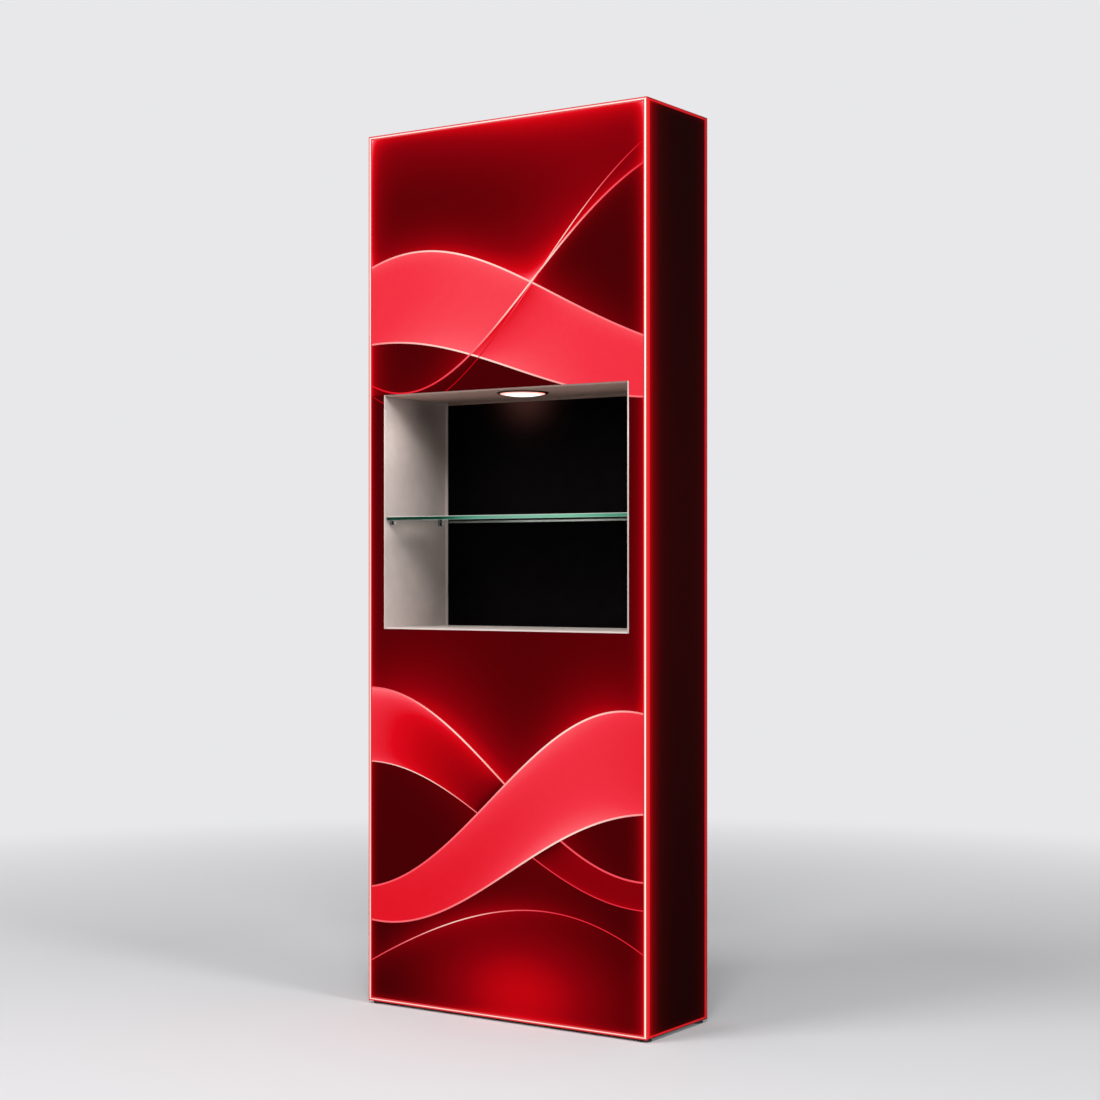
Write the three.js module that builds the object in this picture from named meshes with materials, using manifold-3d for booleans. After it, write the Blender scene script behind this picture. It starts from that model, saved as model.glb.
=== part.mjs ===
// A free-standing, edge-lit display tower with a recessed showcase and a glass shelf.
// It is a knock-down aluminium frame that holds a stretched, back-lit fabric front.
// Units are millimetres. X runs to the viewer's right, Y to the rear and Z up.
// The origin is on the floor under the middle of the stand.

import * as THREE from 'three';
import { mergeVertices } from 'three/addons/utils/BufferGeometryUtils.js';
import Module from 'manifold-3d';

const wasm = await Module();
wasm.setup();

// Driving dimensions

const stand = { width: 900, depth: 310, height: 2400, floorGap: 8 };
const fit = { gap: 0.3, spigot: 0.5, overrun: 6, weld: 0.001 };

// The frame's extrusions: a square section whose front face holds a light strip and the fabric's groove.
const profile = { size: 40, wall: 2 };
const frontLight = { edge: 2.2, width: 5.6, depth: 2.4 };
const groove = { edge: 10.4, width: 3.5, depth: 10 };
const sideLight = { edge: 3.6, endEdge: 2.2, width: 10, endWidth: 5, depth: 3.5 };
const graphic = { recess: 0.2, thickness: 0.9 };
const panel = { thickness: 3, lap: 8 };
const connector = { reach: 110, tipGap: 43.1, chamfer: 4 };

const foot = {
  padRadius: 19,
  padHeight: 4.2,
  padChamfer: 1.2,
  nutRadius: 9,
  stemRadius: 4,
  stemLength: 30,
  clearance: 0.4,
};

// The showcase is a folded box of five panels, set into the front.
const showcase = {
  sideMargin: 54,
  rearMargin: 25,
  bottom: 1038,
  height: 644,
  wall: 4,
  back: 4,
  flange: 3,
  lip: 7.5,
  lipThickness: 2,
};
const support = { size: 25, wall: 2, setback: 60 };
const shelf = {
  height: 304.5,
  thickness: 10,
  frontGap: 4,
  sideGap: 1,
  rearGap: 2,
  bevel: 1,
  cornerRadius: 4,
};
const stud = {
  frontSetback: 27,
  rearSetback: 33,
  headRadius: 6,
  headLength: 15,
  ringRadius: 5.2,
  ringEdge: 4,
  chamfer: 1,
  shankRadius: 3,
  clearance: 0.3,
};

const downlight = {
  frontSetback: 99,
  lensRadius: 60.5,
  lensRim: 4.5,
  lensDome: 7,
  lensGap: 0.4,
  bezelRadius: 70,
  bezelHeight: 3.5,
  bezelRound: 1.5,
  collarWall: 2,
  collarRise: 4,
};
const heatSink = {
  plate: 5,
  coreRadius: 16,
  finCount: 20,
  finThickness: 2.2,
  finHeight: 30,
  finEdge: 4,
  earThickness: 3,
  earOverhang: 8,
  earInset: 8,
  pinRadius: 1.6,
  pinEdge: 4,
};
const clip = {
  pivotHeight: 22,
  knuckleRadius: 4,
  bore: 2,
  width: 17,
  thickness: 2,
  reach: 32,
  tipRadius: 2.5,
};

const ledBar = { height: 24, thickness: 6, setback: 24, lensRadius: 8, lensHeight: 5, pitch: 88 };
const ledLowerShares = [0.22, 0.68];
const ledUpperShares = [0.34, 0.8];

const driver = {
  length: 220,
  width: 62,
  height: 36,
  round: 5,
  tab: 14,
  tabThickness: 3,
  tabHole: 2.5,
  sideSetback: 150,
  rearSetback: 150,
};

const inlet = {
  sideSetback: 200,
  recess: 2.3,
  flangeWidth: 52,
  flangeHeight: 27,
  flangeThickness: 1.8,
  cornerRadius: 2,
  bodyWidth: 47,
  bodyHeight: 22,
  bodyDepth: 27,
  socketWidth: 23.5,
  socketHeight: 15.5,
  socketDepth: 18,
  socketChamfer: 4,
  socketOffset: -9,
  pinWidth: 2,
  pinHeight: 4,
  pinLength: 12,
  pinPitch: 7,
  pinDrop: 2,
};
const rocker = {
  offset: 14,
  width: 12,
  length: 17,
  rise: 1,
  depth: 6,
  pivotDepth: 3,
  tiltDegrees: 7,
  wellDepth: 12,
  endGap: 0.8,
};

// Counts of facets round the turned pieces.
const facets = {
  corner: 4,
  foot: 28,
  nut: 6,
  stem: 16,
  stud: 16,
  lens: 48,
  lensRings: 6,
  core: 20,
  pin: 12,
  led: 10,
  ledRings: 4,
};

// Sizes that follow from the driving dimensions

const half = { width: stand.width / 2, depth: stand.depth / 2 };
const frameInner = {
  x: half.width - profile.size,
  y: half.depth - profile.size,
  bottom: stand.floorGap + profile.size,
  top: stand.height - profile.size,
};
const outerWall = sideLight.depth + fit.gap + profile.wall;
const frontWall = groove.depth + profile.wall;
const sheetSeat = graphic.recess + graphic.thickness + fit.gap;
const niche = {
  x: half.width - showcase.sideMargin,
  front: -half.depth,
  back: half.depth - showcase.rearMargin,
  bottom: showcase.bottom,
  top: showcase.bottom + showcase.height,
};
const nicheInside = {
  x: niche.x - showcase.wall,
  back: niche.back - showcase.back,
  bottom: niche.bottom + showcase.wall,
  top: niche.top - showcase.wall,
};
const lip = { back: nicheInside.back - fit.gap, front: nicheInside.back - fit.gap - showcase.lipThickness };
const shelfTop = nicheInside.bottom + shelf.height;
const shelfUnderside = shelfTop - shelf.thickness;
const lampCentre = new THREE.Vector2(0, -half.depth + downlight.frontSetback);
const ceilingHole = downlight.lensRadius + downlight.lensGap + downlight.collarWall + fit.gap;
const rockerTilt = THREE.MathUtils.degToRad(rocker.tiltDegrees);

// Directions and corners

const xAxis = new THREE.Vector3(1, 0, 0);
const yAxis = new THREE.Vector3(0, 1, 0);
const zAxis = new THREE.Vector3(0, 0, 1);
const faces = { front: -1, rear: 1 };
const sides = { left: -1, right: 1 };
const levels = { top: 1, bottom: -1 };

// Finishes

function finish(color, roughness, metalness = 0) {
  return new THREE.MeshStandardMaterial({ color, roughness, metalness });
}

const finishes = {
  frame: finish(0x1c1213, 0.45, 0.6),
  casting: finish(0x8d9094, 0.5, 0.8),
  whiteLight: finish(0xffe2d6, 0.4),
  redLight: finish(0xf03030, 0.4),
  fabric: finish(0xb5101f, 0.75),
  darkPanel: finish(0x200505, 0.4),
  blackPanel: finish(0x0d0b0c, 0.6),
  shell: finish(0xcbb9b2, 0.5),
  glass: finish(0x8fc4ad, 0.08),
  chrome: finish(0xb9bcc0, 0.18, 1),
  lens: finish(0xfffdf4, 0.35),
  bezel: finish(0x17100f, 0.45, 0.3),
  heatSink: finish(0x5a5c60, 0.5, 0.8),
  spring: finish(0x9c9fa3, 0.3, 1),
  rubber: finish(0x141414, 0.85),
  board: finish(0xd9dbdc, 0.45, 0.5),
  driver: finish(0xc3c6c9, 0.4, 0.7),
  plastic: finish(0x111112, 0.45),
};

const standGroup = new THREE.Group();

// Solids

// A closed geometry as a solid, moved by a matrix; a mirroring matrix turns its faces back out.
function solidOf(geometry, matrix = new THREE.Matrix4()) {
  const bare = geometry.index ? geometry.toNonIndexed() : geometry.clone();
  bare.deleteAttribute('normal');
  bare.deleteAttribute('uv');
  bare.applyMatrix4(matrix);
  const merged = mergeVertices(bare, fit.weld);
  const triVerts = new Uint32Array(merged.index.array);
  if (matrix.determinant() < 0) triVerts.reverse();
  return new wasm.Manifold(
    new wasm.Mesh({ numProp: 3, vertProperties: merged.attributes.position.array, triVerts }),
  );
}

function joined(solids) {
  return solids.reduce((whole, solid) => whole.add(solid));
}

function addPiece(name, solid, material) {
  const { vertProperties, triVerts } = solid.getMesh();
  const geometry = new THREE.BufferGeometry();
  geometry.setAttribute('position', new THREE.BufferAttribute(vertProperties, 3));
  geometry.setIndex(new THREE.BufferAttribute(triVerts, 1));
  const flat = geometry.toNonIndexed();
  flat.computeVertexNormals();
  const mesh = new THREE.Mesh(flat, material);
  mesh.name = name;
  standGroup.add(mesh);
}

// A block between two opposite corners, given in any order, with an optional margin all round.
function block(from, to, margin = 0) {
  const box = new THREE.Box3().setFromPoints([new THREE.Vector3(...from), new THREE.Vector3(...to)]);
  box.expandByScalar(margin);
  const size = box.getSize(new THREE.Vector3());
  const centre = box.getCenter(new THREE.Vector3());
  return solidOf(new THREE.BoxGeometry(size.x, size.y, size.z).translate(centre.x, centre.y, centre.z));
}

function shapeOf(points) {
  return new THREE.Shape(points.map(([x, y]) => new THREE.Vector2(x, y)));
}

// A prism whose outline lies across one direction and which runs along another.
function prism(shape, length, across, up, along, start) {
  const bar = new THREE.ExtrudeGeometry(shape, { depth: length, bevelEnabled: false });
  return solidOf(bar, new THREE.Matrix4().makeBasis(across, up, along).setPosition(start));
}

// A turned piece: its profile holds [radius, place along the axis] and is read away from the start.
function turned(points, segments, along, start) {
  const lathe = new THREE.LatheGeometry(points.map(([r, t]) => new THREE.Vector2(r, t)), segments);
  const turn = new THREE.Quaternion().setFromUnitVectors(yAxis, along);
  return solidOf(lathe, new THREE.Matrix4().makeRotationFromQuaternion(turn).setPosition(start));
}

function rod(radius, from, to, segments) {
  const along = new THREE.Vector3().subVectors(to, from);
  const length = along.length();
  return turned([[0, 0], [radius, 0], [radius, length], [0, length]], segments, along.normalize(), from);
}

function roundedRectangle(width, height, radius) {
  const shape = new THREE.Shape();
  const x = width / 2;
  const y = height / 2;
  shape.moveTo(-x + radius, -y);
  shape.lineTo(x - radius, -y);
  shape.absarc(x - radius, -y + radius, radius, -Math.PI / 2, 0);
  shape.lineTo(x, y - radius);
  shape.absarc(x - radius, y - radius, radius, 0, Math.PI / 2);
  shape.lineTo(-x + radius, y);
  shape.absarc(-x + radius, y - radius, radius, Math.PI / 2, Math.PI);
  shape.lineTo(-x, -y + radius);
  shape.absarc(-x + radius, -y + radius, radius, Math.PI, 1.5 * Math.PI);
  return shape;
}

// Frame members

// A member's section lies in a, inwards from the stand's edge, and b, inwards from its front or rear
// face. Both ends are cut back by a, which mitres them.
function mitred(shape, edge, face) {
  const upright = edge in sides;
  const length = upright ? stand.height - stand.floorGap : stand.width;
  const bar = new THREE.ExtrudeGeometry(shape, { depth: length, bevelEnabled: false });
  const position = bar.attributes.position;
  const mitreGap = fit.gap * Math.SQRT1_2;
  for (let i = 0; i < position.count; i += 1) {
    const cutBack = position.getX(i) + mitreGap;
    position.setZ(i, position.getZ(i) > 0 ? length - cutBack : cutBack);
  }
  const inwards = {
    left: xAxis,
    right: xAxis.clone().negate(),
    bottom: zAxis,
    top: zAxis.clone().negate(),
  }[edge];
  const start = new THREE.Vector3(
    edge === 'right' ? half.width : -half.width,
    faces[face] * half.depth,
    edge === 'top' ? stand.height : stand.floorGap,
  );
  const depthwise = yAxis.clone().multiplyScalar(-faces[face]);
  return solidOf(
    bar,
    new THREE.Matrix4().makeBasis(inwards, depthwise, upright ? zAxis : xAxis).setPosition(start),
  );
}

function chamber(fromA, fromB) {
  const to = profile.size - profile.wall;
  const path = new THREE.Path();
  path.moveTo(fromA, fromB);
  path.lineTo(fromA, to);
  path.lineTo(to, to);
  path.lineTo(to, fromB);
  path.closePath();
  return path;
}

// The outer side of an upright steps back behind its front lip, to take the side light and side panel.
function outerSide(upright) {
  const size = profile.size;
  if (!upright) return [[0, size]];
  return [[sideLight.depth, size], [sideLight.depth, sideLight.edge], [0, sideLight.edge]];
}

function frontSection(upright) {
  const light = { from: frontLight.edge, to: frontLight.edge + frontLight.width };
  const slot = { from: groove.edge, to: groove.edge + groove.width };
  const shape = shapeOf([
    [0, 0],
    [light.from, 0],
    [light.from, frontLight.depth],
    [light.to, frontLight.depth],
    [light.to, 0],
    [slot.from, 0],
    [slot.from, groove.depth],
    [slot.to, groove.depth],
    [slot.to, sheetSeat],
    [profile.size, sheetSeat],
    [profile.size, profile.size],
    ...outerSide(upright),
  ]);
  shape.holes.push(chamber(outerWall, frontWall));
  return shape;
}

function rearSection(upright) {
  const shape = shapeOf([[0, 0], [profile.size, 0], [profile.size, profile.size], ...outerSide(upright)]);
  shape.holes.push(chamber(outerWall, outerWall));
  return shape;
}

function depthRail(side, level) {
  const size = profile.size;
  const shape = shapeOf([
    [0, 0],
    [size, 0],
    [size, size],
    [sideLight.depth, size],
    [sideLight.depth, sideLight.endEdge],
    [0, sideLight.endEdge],
  ]);
  shape.holes.push(chamber(outerWall, outerWall));
  const start = new THREE.Vector3(
    sides[side] * half.width,
    -frameInner.y + fit.gap,
    level === 'top' ? stand.height : stand.floorGap,
  );
  return prism(
    shape,
    2 * (frameInner.y - fit.gap),
    xAxis.clone().multiplyScalar(-sides[side]),
    zAxis.clone().multiplyScalar(-levels[level]),
    yAxis,
    start,
  );
}

// The middle of the chambers that meet in a corner, and half of what fits in them.
function cornerOf(face, side, level) {
  const chamberEnd = profile.size - profile.wall;
  const firstB = face === 'front' ? frontWall : outerWall;
  const middleA = (outerWall + chamberEnd) / 2;
  const middleB = (firstB + chamberEnd) / 2;
  return {
    x: sides[side] * (half.width - middleA),
    y: faces[face] * (half.depth - middleB),
    z: level === 'top' ? stand.height - middleA : stand.floorGap + middleA,
    halfA: (chamberEnd - outerWall) / 2 - fit.spigot,
    halfB: (chamberEnd - firstB) / 2 - fit.spigot,
  };
}

// A corner casting: three arms, each a spigot with a chamfered tip in the chamber of one member. The
// front and rear castings share a depth rail, where their tips stop a set gap apart.
function cornerConnector(face, side, level, margin = 0) {
  const corner = cornerOf(face, side, level);
  const centre = new THREE.Vector3(corner.x, corner.y, corner.z);
  const depthSpan = cornerOf('rear', side, level).y - cornerOf('front', side, level).y;
  const depthReach = (depthSpan - connector.tipGap) / 2;
  const arm = (axis, turn, halfSize, length) => ({
    inwards: axis.clone().multiplyScalar(-turn),
    half: halfSize + margin,
    reach: length + margin,
  });
  const arms = {
    x: arm(xAxis, sides[side], corner.halfA, connector.reach),
    y: arm(yAxis, faces[face], corner.halfB, depthReach),
    z: arm(zAxis, levels[level], corner.halfA, connector.reach),
  };
  const spigot = (along, across, up) => {
    const wide = arms[across].half;
    const thick = arms[up].half;
    const reach = arms[along].reach;
    const outline = shapeOf([
      [-wide, -arms[along].half],
      [wide, -arms[along].half],
      [wide, reach - connector.chamfer],
      [wide - connector.chamfer, reach],
      [connector.chamfer - wide, reach],
      [-wide, reach - connector.chamfer],
    ]);
    const start = centre.clone().addScaledVector(arms[up].inwards, -thick);
    return prism(outline, 2 * thick, arms[across].inwards, arms[along].inwards, arms[up].inwards, start);
  };
  return joined([spigot('x', 'y', 'z'), spigot('y', 'x', 'z'), spigot('z', 'x', 'y')]);
}

// Light strips, lit edges and panels

function frontLightStrip(edge) {
  const from = frontLight.edge + fit.gap;
  const to = frontLight.edge + frontLight.width - fit.gap;
  const depth = frontLight.depth - fit.gap;
  return mitred(shapeOf([[from, 0], [to, 0], [to, depth], [from, depth]]), edge, 'front');
}

function sideLightRing(side, margin = 0) {
  const face = sides[side] * half.width;
  const back = face - sides[side] * (sideLight.depth - fit.gap + margin);
  const y = half.depth - sideLight.edge - fit.gap;
  const bottom = stand.floorGap + sideLight.endEdge + fit.gap;
  const top = stand.height - sideLight.endEdge - fit.gap;
  const outer = block([back, -y, bottom], [face, y, top]);
  if (margin > 0) return outer.add(block([back, -y, bottom], [face, y, top], margin));
  const inner = block(
    [back - sides[side] * fit.overrun, -y + sideLight.width, bottom + sideLight.endWidth],
    [face + sides[side] * fit.overrun, y - sideLight.width, top - sideLight.endWidth],
  );
  return outer.subtract(inner);
}

function sidePanel(side) {
  const face = sides[side] * half.width;
  const y = half.depth - sideLight.edge - sideLight.width - 2 * fit.gap;
  const endInset = sideLight.endEdge + sideLight.endWidth + 2 * fit.gap;
  return block(
    [face, -y, stand.floorGap + endInset],
    [face - sides[side] * panel.thickness, y, stand.height - endInset],
  );
}

// The top and base panels lie in a rebate round the inner edge of the four members about them.
function levelPanel(level, margin = 0) {
  const x = frameInner.x + panel.lap;
  const y = frameInner.y + panel.lap;
  const face = level === 'top' ? stand.height : stand.floorGap;
  return block([-x, -y, face], [x, y, face - levels[level] * panel.thickness], margin);
}

function rearPanel(margin = 0) {
  const x = frameInner.x + panel.lap;
  return block(
    [-x, half.depth - panel.thickness, frameInner.bottom - panel.lap],
    [x, half.depth, frameInner.top + panel.lap],
    margin,
  );
}

// The fabric front: one sheet with a cut-out for the showcase, and a bead round it that fills the groove.
function frontGraphic() {
  const front = -half.depth + graphic.recess;
  const outer = groove.edge + fit.gap;
  const bead = groove.width - 2 * fit.gap;
  const edge = (inset, from, to) =>
    block(
      [inset - half.width, from, stand.floorGap + inset],
      [half.width - inset, to, stand.height - inset],
    );
  const sheet = edge(outer, front, front + graphic.thickness);
  const beadDepth = -half.depth + groove.depth - fit.gap;
  const beadRing = edge(outer, front, beadDepth).subtract(
    edge(outer + bead, front - fit.overrun, beadDepth + fit.overrun),
  );
  const opening = block(
    [-niche.x - fit.gap, front - fit.overrun, niche.bottom - fit.gap],
    [niche.x + fit.gap, front + fit.overrun, niche.top + fit.gap],
  );
  return sheet.subtract(opening).add(beadRing);
}

// The showcase

// Each wall is a panel folded at the front into a flange behind the fabric. At the rear the sides and
// the ceiling turn inwards into a lip, which the back panel closes against. The side lips run down past
// the floor, which is notched at its rear corners.
function showcaseSide(side) {
  const out = sides[side];
  const flangeFront = niche.front + sheetSeat;
  const wall = block([out * nicheInside.x, niche.front, niche.bottom], [out * niche.x, lip.back, niche.top]);
  const rearLip = block(
    [out * (nicheInside.x - showcase.lip), lip.front, niche.bottom],
    [out * niche.x, lip.back, nicheInside.top - fit.gap],
  );
  const flange = block(
    [out * nicheInside.x, flangeFront, niche.bottom],
    [out * (frameInner.x - fit.gap), flangeFront + showcase.flange, niche.top],
  );
  return joined([wall, flange, rearLip]);
}

function showcaseLevel(level) {
  const inner = level === 'top' ? nicheInside.top : nicheInside.bottom;
  const outer = level === 'top' ? niche.top : niche.bottom;
  const x = nicheInside.x - fit.gap;
  const flangeFront = niche.front + sheetSeat;
  const flangeWidth = frameInner.x - fit.gap - niche.x;
  const wall = block([-x, niche.front, inner], [x, lip.back, outer]);
  const flange = block(
    [-x, flangeFront, inner],
    [x, flangeFront + showcase.flange, outer + levels[level] * flangeWidth],
  );
  const lipX = x - showcase.lip;
  if (level === 'top') {
    const rearLip = block([-lipX, lip.front, inner - showcase.lip], [lipX, lip.back, outer]);
    return joined([wall, flange, rearLip]);
  }
  const notches = Object.values(sides).map((out) =>
    block(
      [out * lipX, lip.front - fit.gap, outer - fit.overrun],
      [out * (x + fit.overrun), lip.back + fit.overrun, inner + fit.overrun],
    ),
  );
  return wall.add(flange).subtract(joined(notches));
}

function showcaseBack() {
  return block([-niche.x, nicheInside.back, niche.bottom], [niche.x, niche.back, niche.top]);
}

function supportRail(frontEdge) {
  const top = niche.bottom - fit.gap;
  const length = 2 * (frameInner.x - fit.gap);
  const outline = shapeOf([[0, 0], [support.size, 0], [support.size, support.size], [0, support.size]]);
  const hollow = new THREE.Path();
  const far = support.size - support.wall;
  hollow.moveTo(support.wall, support.wall);
  hollow.lineTo(support.wall, far);
  hollow.lineTo(far, far);
  hollow.lineTo(far, support.wall);
  hollow.closePath();
  outline.holes.push(hollow);
  const start = new THREE.Vector3(-length / 2, frontEdge, top - support.size);
  return prism(outline, length, yAxis, zAxis, xAxis, start);
}

function glassShelf() {
  const width = 2 * (nicheInside.x - shelf.sideGap);
  const depth = lip.front - shelf.rearGap - (niche.front + shelf.frontGap);
  const outline = roundedRectangle(
    width - 2 * shelf.bevel,
    depth - 2 * shelf.bevel,
    shelf.cornerRadius - shelf.bevel,
  );
  const plate = new THREE.ExtrudeGeometry(outline, {
    depth: shelf.thickness - 2 * shelf.bevel,
    bevelThickness: shelf.bevel,
    bevelSize: shelf.bevel,
    bevelSegments: 1,
    curveSegments: facets.corner,
  });
  const middle = new THREE.Matrix4().makeTranslation(
    0,
    niche.front + shelf.frontGap + depth / 2,
    shelfUnderside + shelf.bevel,
  );
  return solidOf(plate, middle);
}

const studPlaces = [];
for (const side of Object.keys(sides)) {
  const rows = { front: niche.front + stud.frontSetback, rear: nicheInside.back - stud.rearSetback };
  for (const [row, y] of Object.entries(rows)) studPlaces.push({ side, row, y });
}
const studHeight = shelfUnderside - fit.gap - stud.headRadius;

function shelfStud({ side, y }) {
  const wallFace = new THREE.Vector3(sides[side] * nicheInside.x, y, studHeight);
  const profilePoints = [
    [0, -showcase.wall],
    [stud.shankRadius, -showcase.wall],
    [stud.shankRadius, fit.gap],
    [stud.headRadius, fit.gap],
    [stud.headRadius, stud.ringEdge],
    [stud.ringRadius, stud.ringEdge + stud.chamfer],
    [stud.ringRadius, stud.headLength - stud.ringEdge],
    [stud.headRadius, stud.headLength - stud.ringEdge + stud.chamfer],
    [stud.headRadius, stud.headLength - stud.chamfer],
    [stud.headRadius - stud.chamfer, stud.headLength],
    [0, stud.headLength],
  ];
  return turned(profilePoints, facets.stud, xAxis.clone().multiplyScalar(-sides[side]), wallFace);
}

function studHole({ side, y }) {
  const out = sides[side];
  const from = new THREE.Vector3(out * (nicheInside.x - fit.overrun), y, studHeight);
  const to = new THREE.Vector3(out * (niche.x + fit.overrun), y, studHeight);
  return rod(stud.shankRadius + stud.clearance, from, to, facets.stud);
}

// The downlight: a bezel and a domed lens under the ceiling, and a finned heat sink with sprung clips above.

function lampPoint(z) {
  return new THREE.Vector3(lampCentre.x, lampCentre.y, z);
}

function downlightBezel() {
  const inner = downlight.lensRadius + downlight.lensGap;
  const collar = inner + downlight.collarWall;
  const flangeTop = nicheInside.top - fit.gap;
  const flangeBottom = flangeTop - downlight.bezelHeight;
  const collarTop = niche.top + downlight.collarRise - flangeBottom;
  const points = [
    [inner, 0],
    [downlight.bezelRadius - downlight.bezelRound, 0],
    [downlight.bezelRadius, downlight.bezelRound],
    [downlight.bezelRadius, downlight.bezelHeight],
    [collar, downlight.bezelHeight],
    [collar, collarTop],
    [inner, collarTop],
    [inner, 0],
  ];
  return turned(points, facets.lens, zAxis, lampPoint(flangeBottom));
}

// The lens fills the collar, and its face is a shallow dome: an arc from the middle to the rim.
function downlightLens() {
  const bottom = nicheInside.top - downlight.lensRim - downlight.lensDome;
  const top = niche.top + downlight.collarRise - bottom;
  const domeRadius = (downlight.lensRadius ** 2 + downlight.lensDome ** 2) / (2 * downlight.lensDome);
  const rimTurn = Math.asin(downlight.lensRadius / domeRadius);
  const points = [];
  for (let i = 0; i < facets.lensRings; i += 1) {
    const turn = (i / facets.lensRings) * rimTurn;
    points.push([domeRadius * Math.sin(turn), domeRadius * (1 - Math.cos(turn))]);
  }
  points.push([downlight.lensRadius, downlight.lensDome], [downlight.lensRadius, top], [0, top]);
  return turned(points, facets.lens, zAxis, lampPoint(bottom));
}

const sinkBottom = niche.top + downlight.collarRise + fit.gap;
const sinkRadius = ceilingHole - fit.gap;
const clipPivot = { x: sinkRadius + heatSink.earOverhang / 2, z: niche.top + clip.pivotHeight };

function heatSinkBody() {
  const plateTop = sinkBottom + heatSink.plate;
  const top = plateTop + heatSink.finHeight;
  const parts = [
    rod(sinkRadius, lampPoint(sinkBottom), lampPoint(plateTop), facets.lens),
    rod(heatSink.coreRadius, lampPoint(sinkBottom), lampPoint(top), facets.core),
  ];
  const fin = block(
    [0, -heatSink.finThickness / 2, sinkBottom],
    [sinkRadius - heatSink.finEdge - heatSink.earInset, heatSink.finThickness / 2, top],
  );
  for (let i = 0; i < heatSink.finCount; i += 1) {
    parts.push(fin.rotate([0, 0, (i * 360) / heatSink.finCount]).translate([lampCentre.x, lampCentre.y, 0]));
  }
  const innerY = clip.width / 2 + fit.gap;
  const outerY = innerY + heatSink.earThickness;
  for (const out of Object.values(sides)) {
    const pivotX = lampCentre.x + out * clipPivot.x;
    for (const hand of Object.values(sides)) {
      parts.push(
        block(
          [pivotX - out * heatSink.earInset, lampCentre.y + hand * innerY, sinkBottom],
          [pivotX + out * heatSink.pinEdge, lampCentre.y + hand * outerY, clipPivot.z + heatSink.pinEdge],
        ),
      );
    }
    parts.push(
      rod(
        heatSink.pinRadius,
        new THREE.Vector3(pivotX, lampCentre.y - outerY, clipPivot.z),
        new THREE.Vector3(pivotX, lampCentre.y + outerY, clipPivot.z),
        facets.pin,
      ),
    );
  }
  return joined(parts);
}

function springClip(out) {
  const pivotX = lampCentre.x + out * clipPivot.x;
  const tip = { x: pivotX + out * clip.reach, z: niche.top + fit.gap + clip.tipRadius };
  const y = { from: lampCentre.y - clip.width / 2, to: lampCentre.y + clip.width / 2 };
  const across = (radius, x, z, overrun = 0) =>
    rod(
      radius,
      new THREE.Vector3(x, y.from - overrun, z),
      new THREE.Vector3(x, y.to + overrun, z),
      facets.pin,
    );
  const along = new THREE.Vector3(tip.x - pivotX, 0, tip.z - clipPivot.z);
  const length = along.length();
  const blade = shapeOf([
    [0, -clip.thickness / 2],
    [length, -clip.thickness / 2],
    [length, clip.thickness / 2],
    [0, clip.thickness / 2],
  ]);
  along.normalize();
  const normal = new THREE.Vector3().crossVectors(yAxis, along);
  const start = new THREE.Vector3(pivotX, y.from, clipPivot.z);
  return joined([
    across(clip.knuckleRadius, pivotX, clipPivot.z),
    across(clip.tipRadius, tip.x, tip.z),
    prism(blade, clip.width, along, normal, yAxis, start),
  ]).subtract(across(clip.bore, pivotX, clipPivot.z, fit.overrun));
}

// Power and back lighting

function powerDriver() {
  const bottom = stand.floorGap + panel.thickness + fit.gap;
  const centre = new THREE.Vector3(
    frameInner.x - driver.sideSetback - driver.length / 2,
    half.depth - driver.rearSetback,
    bottom,
  );
  const ribbed = new THREE.ExtrudeGeometry(roundedRectangle(driver.length, driver.width, driver.round), {
    depth: driver.height,
    bevelEnabled: false,
    curveSegments: facets.corner,
  });
  const body = solidOf(ribbed, new THREE.Matrix4().setPosition(centre));
  const tabShape = roundedRectangle(driver.length + 2 * driver.tab, driver.width / 2, driver.round);
  for (const end of Object.values(sides)) {
    const hole = new THREE.Path();
    hole.absarc((end * (driver.length + driver.tab)) / 2, 0, driver.tabHole, 0, 2 * Math.PI);
    tabShape.holes.push(hole);
  }
  const tabs = new THREE.ExtrudeGeometry(tabShape, {
    depth: driver.tabThickness,
    bevelEnabled: false,
    curveSegments: facets.corner,
  });
  return body.add(solidOf(tabs, new THREE.Matrix4().setPosition(centre)));
}

const ledLow = { from: frameInner.bottom, to: niche.bottom - support.size };
const ledHigh = { from: niche.top, to: frameInner.top };
const between = ({ from, to }, share) => from + (to - from) * share;
const ledHeights = [
  ...ledLowerShares.map((share) => between(ledLow, share)),
  ...ledUpperShares.map((share) => between(ledHigh, share)),
];

function ledBarAt(height) {
  const x = frameInner.x - fit.gap;
  const back = half.depth - ledBar.setback;
  const front = back - ledBar.thickness;
  const parts = [block([-x, front, height - ledBar.height / 2], [x, back, height + ledBar.height / 2])];
  const count = Math.floor((2 * x - 2 * ledBar.lensRadius) / ledBar.pitch);
  const dome = [[0, 0]];
  for (let i = 0; i <= facets.ledRings; i += 1) {
    const turn = (i / facets.ledRings) * (Math.PI / 2);
    dome.push([ledBar.lensRadius * Math.cos(turn), ledBar.lensHeight * Math.sin(turn) + fit.gap]);
  }
  dome[dome.length - 1][0] = 0;
  for (let i = 0; i < count; i += 1) {
    const place = new THREE.Vector3((i - (count - 1) / 2) * ledBar.pitch, front + fit.gap, height);
    parts.push(turned(dome, facets.led, yAxis.clone().negate(), place));
  }
  return joined(parts);
}

const inletPlace = new THREE.Vector3(
  half.width - inlet.sideSetback,
  half.depth - inlet.recess,
  stand.floorGap + (profile.size - panel.lap) / 2,
);

// A block about the inlet's middle; depth is read forwards from the face of its flange.
function inletBlock(centreX, width, height, fromDepth, toDepth, margin = 0) {
  const x = inletPlace.x + centreX;
  return block(
    [x - width / 2, inletPlace.y - fromDepth, inletPlace.z - height / 2],
    [x + width / 2, inletPlace.y - toDepth, inletPlace.z + height / 2],
    margin,
  );
}

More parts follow.
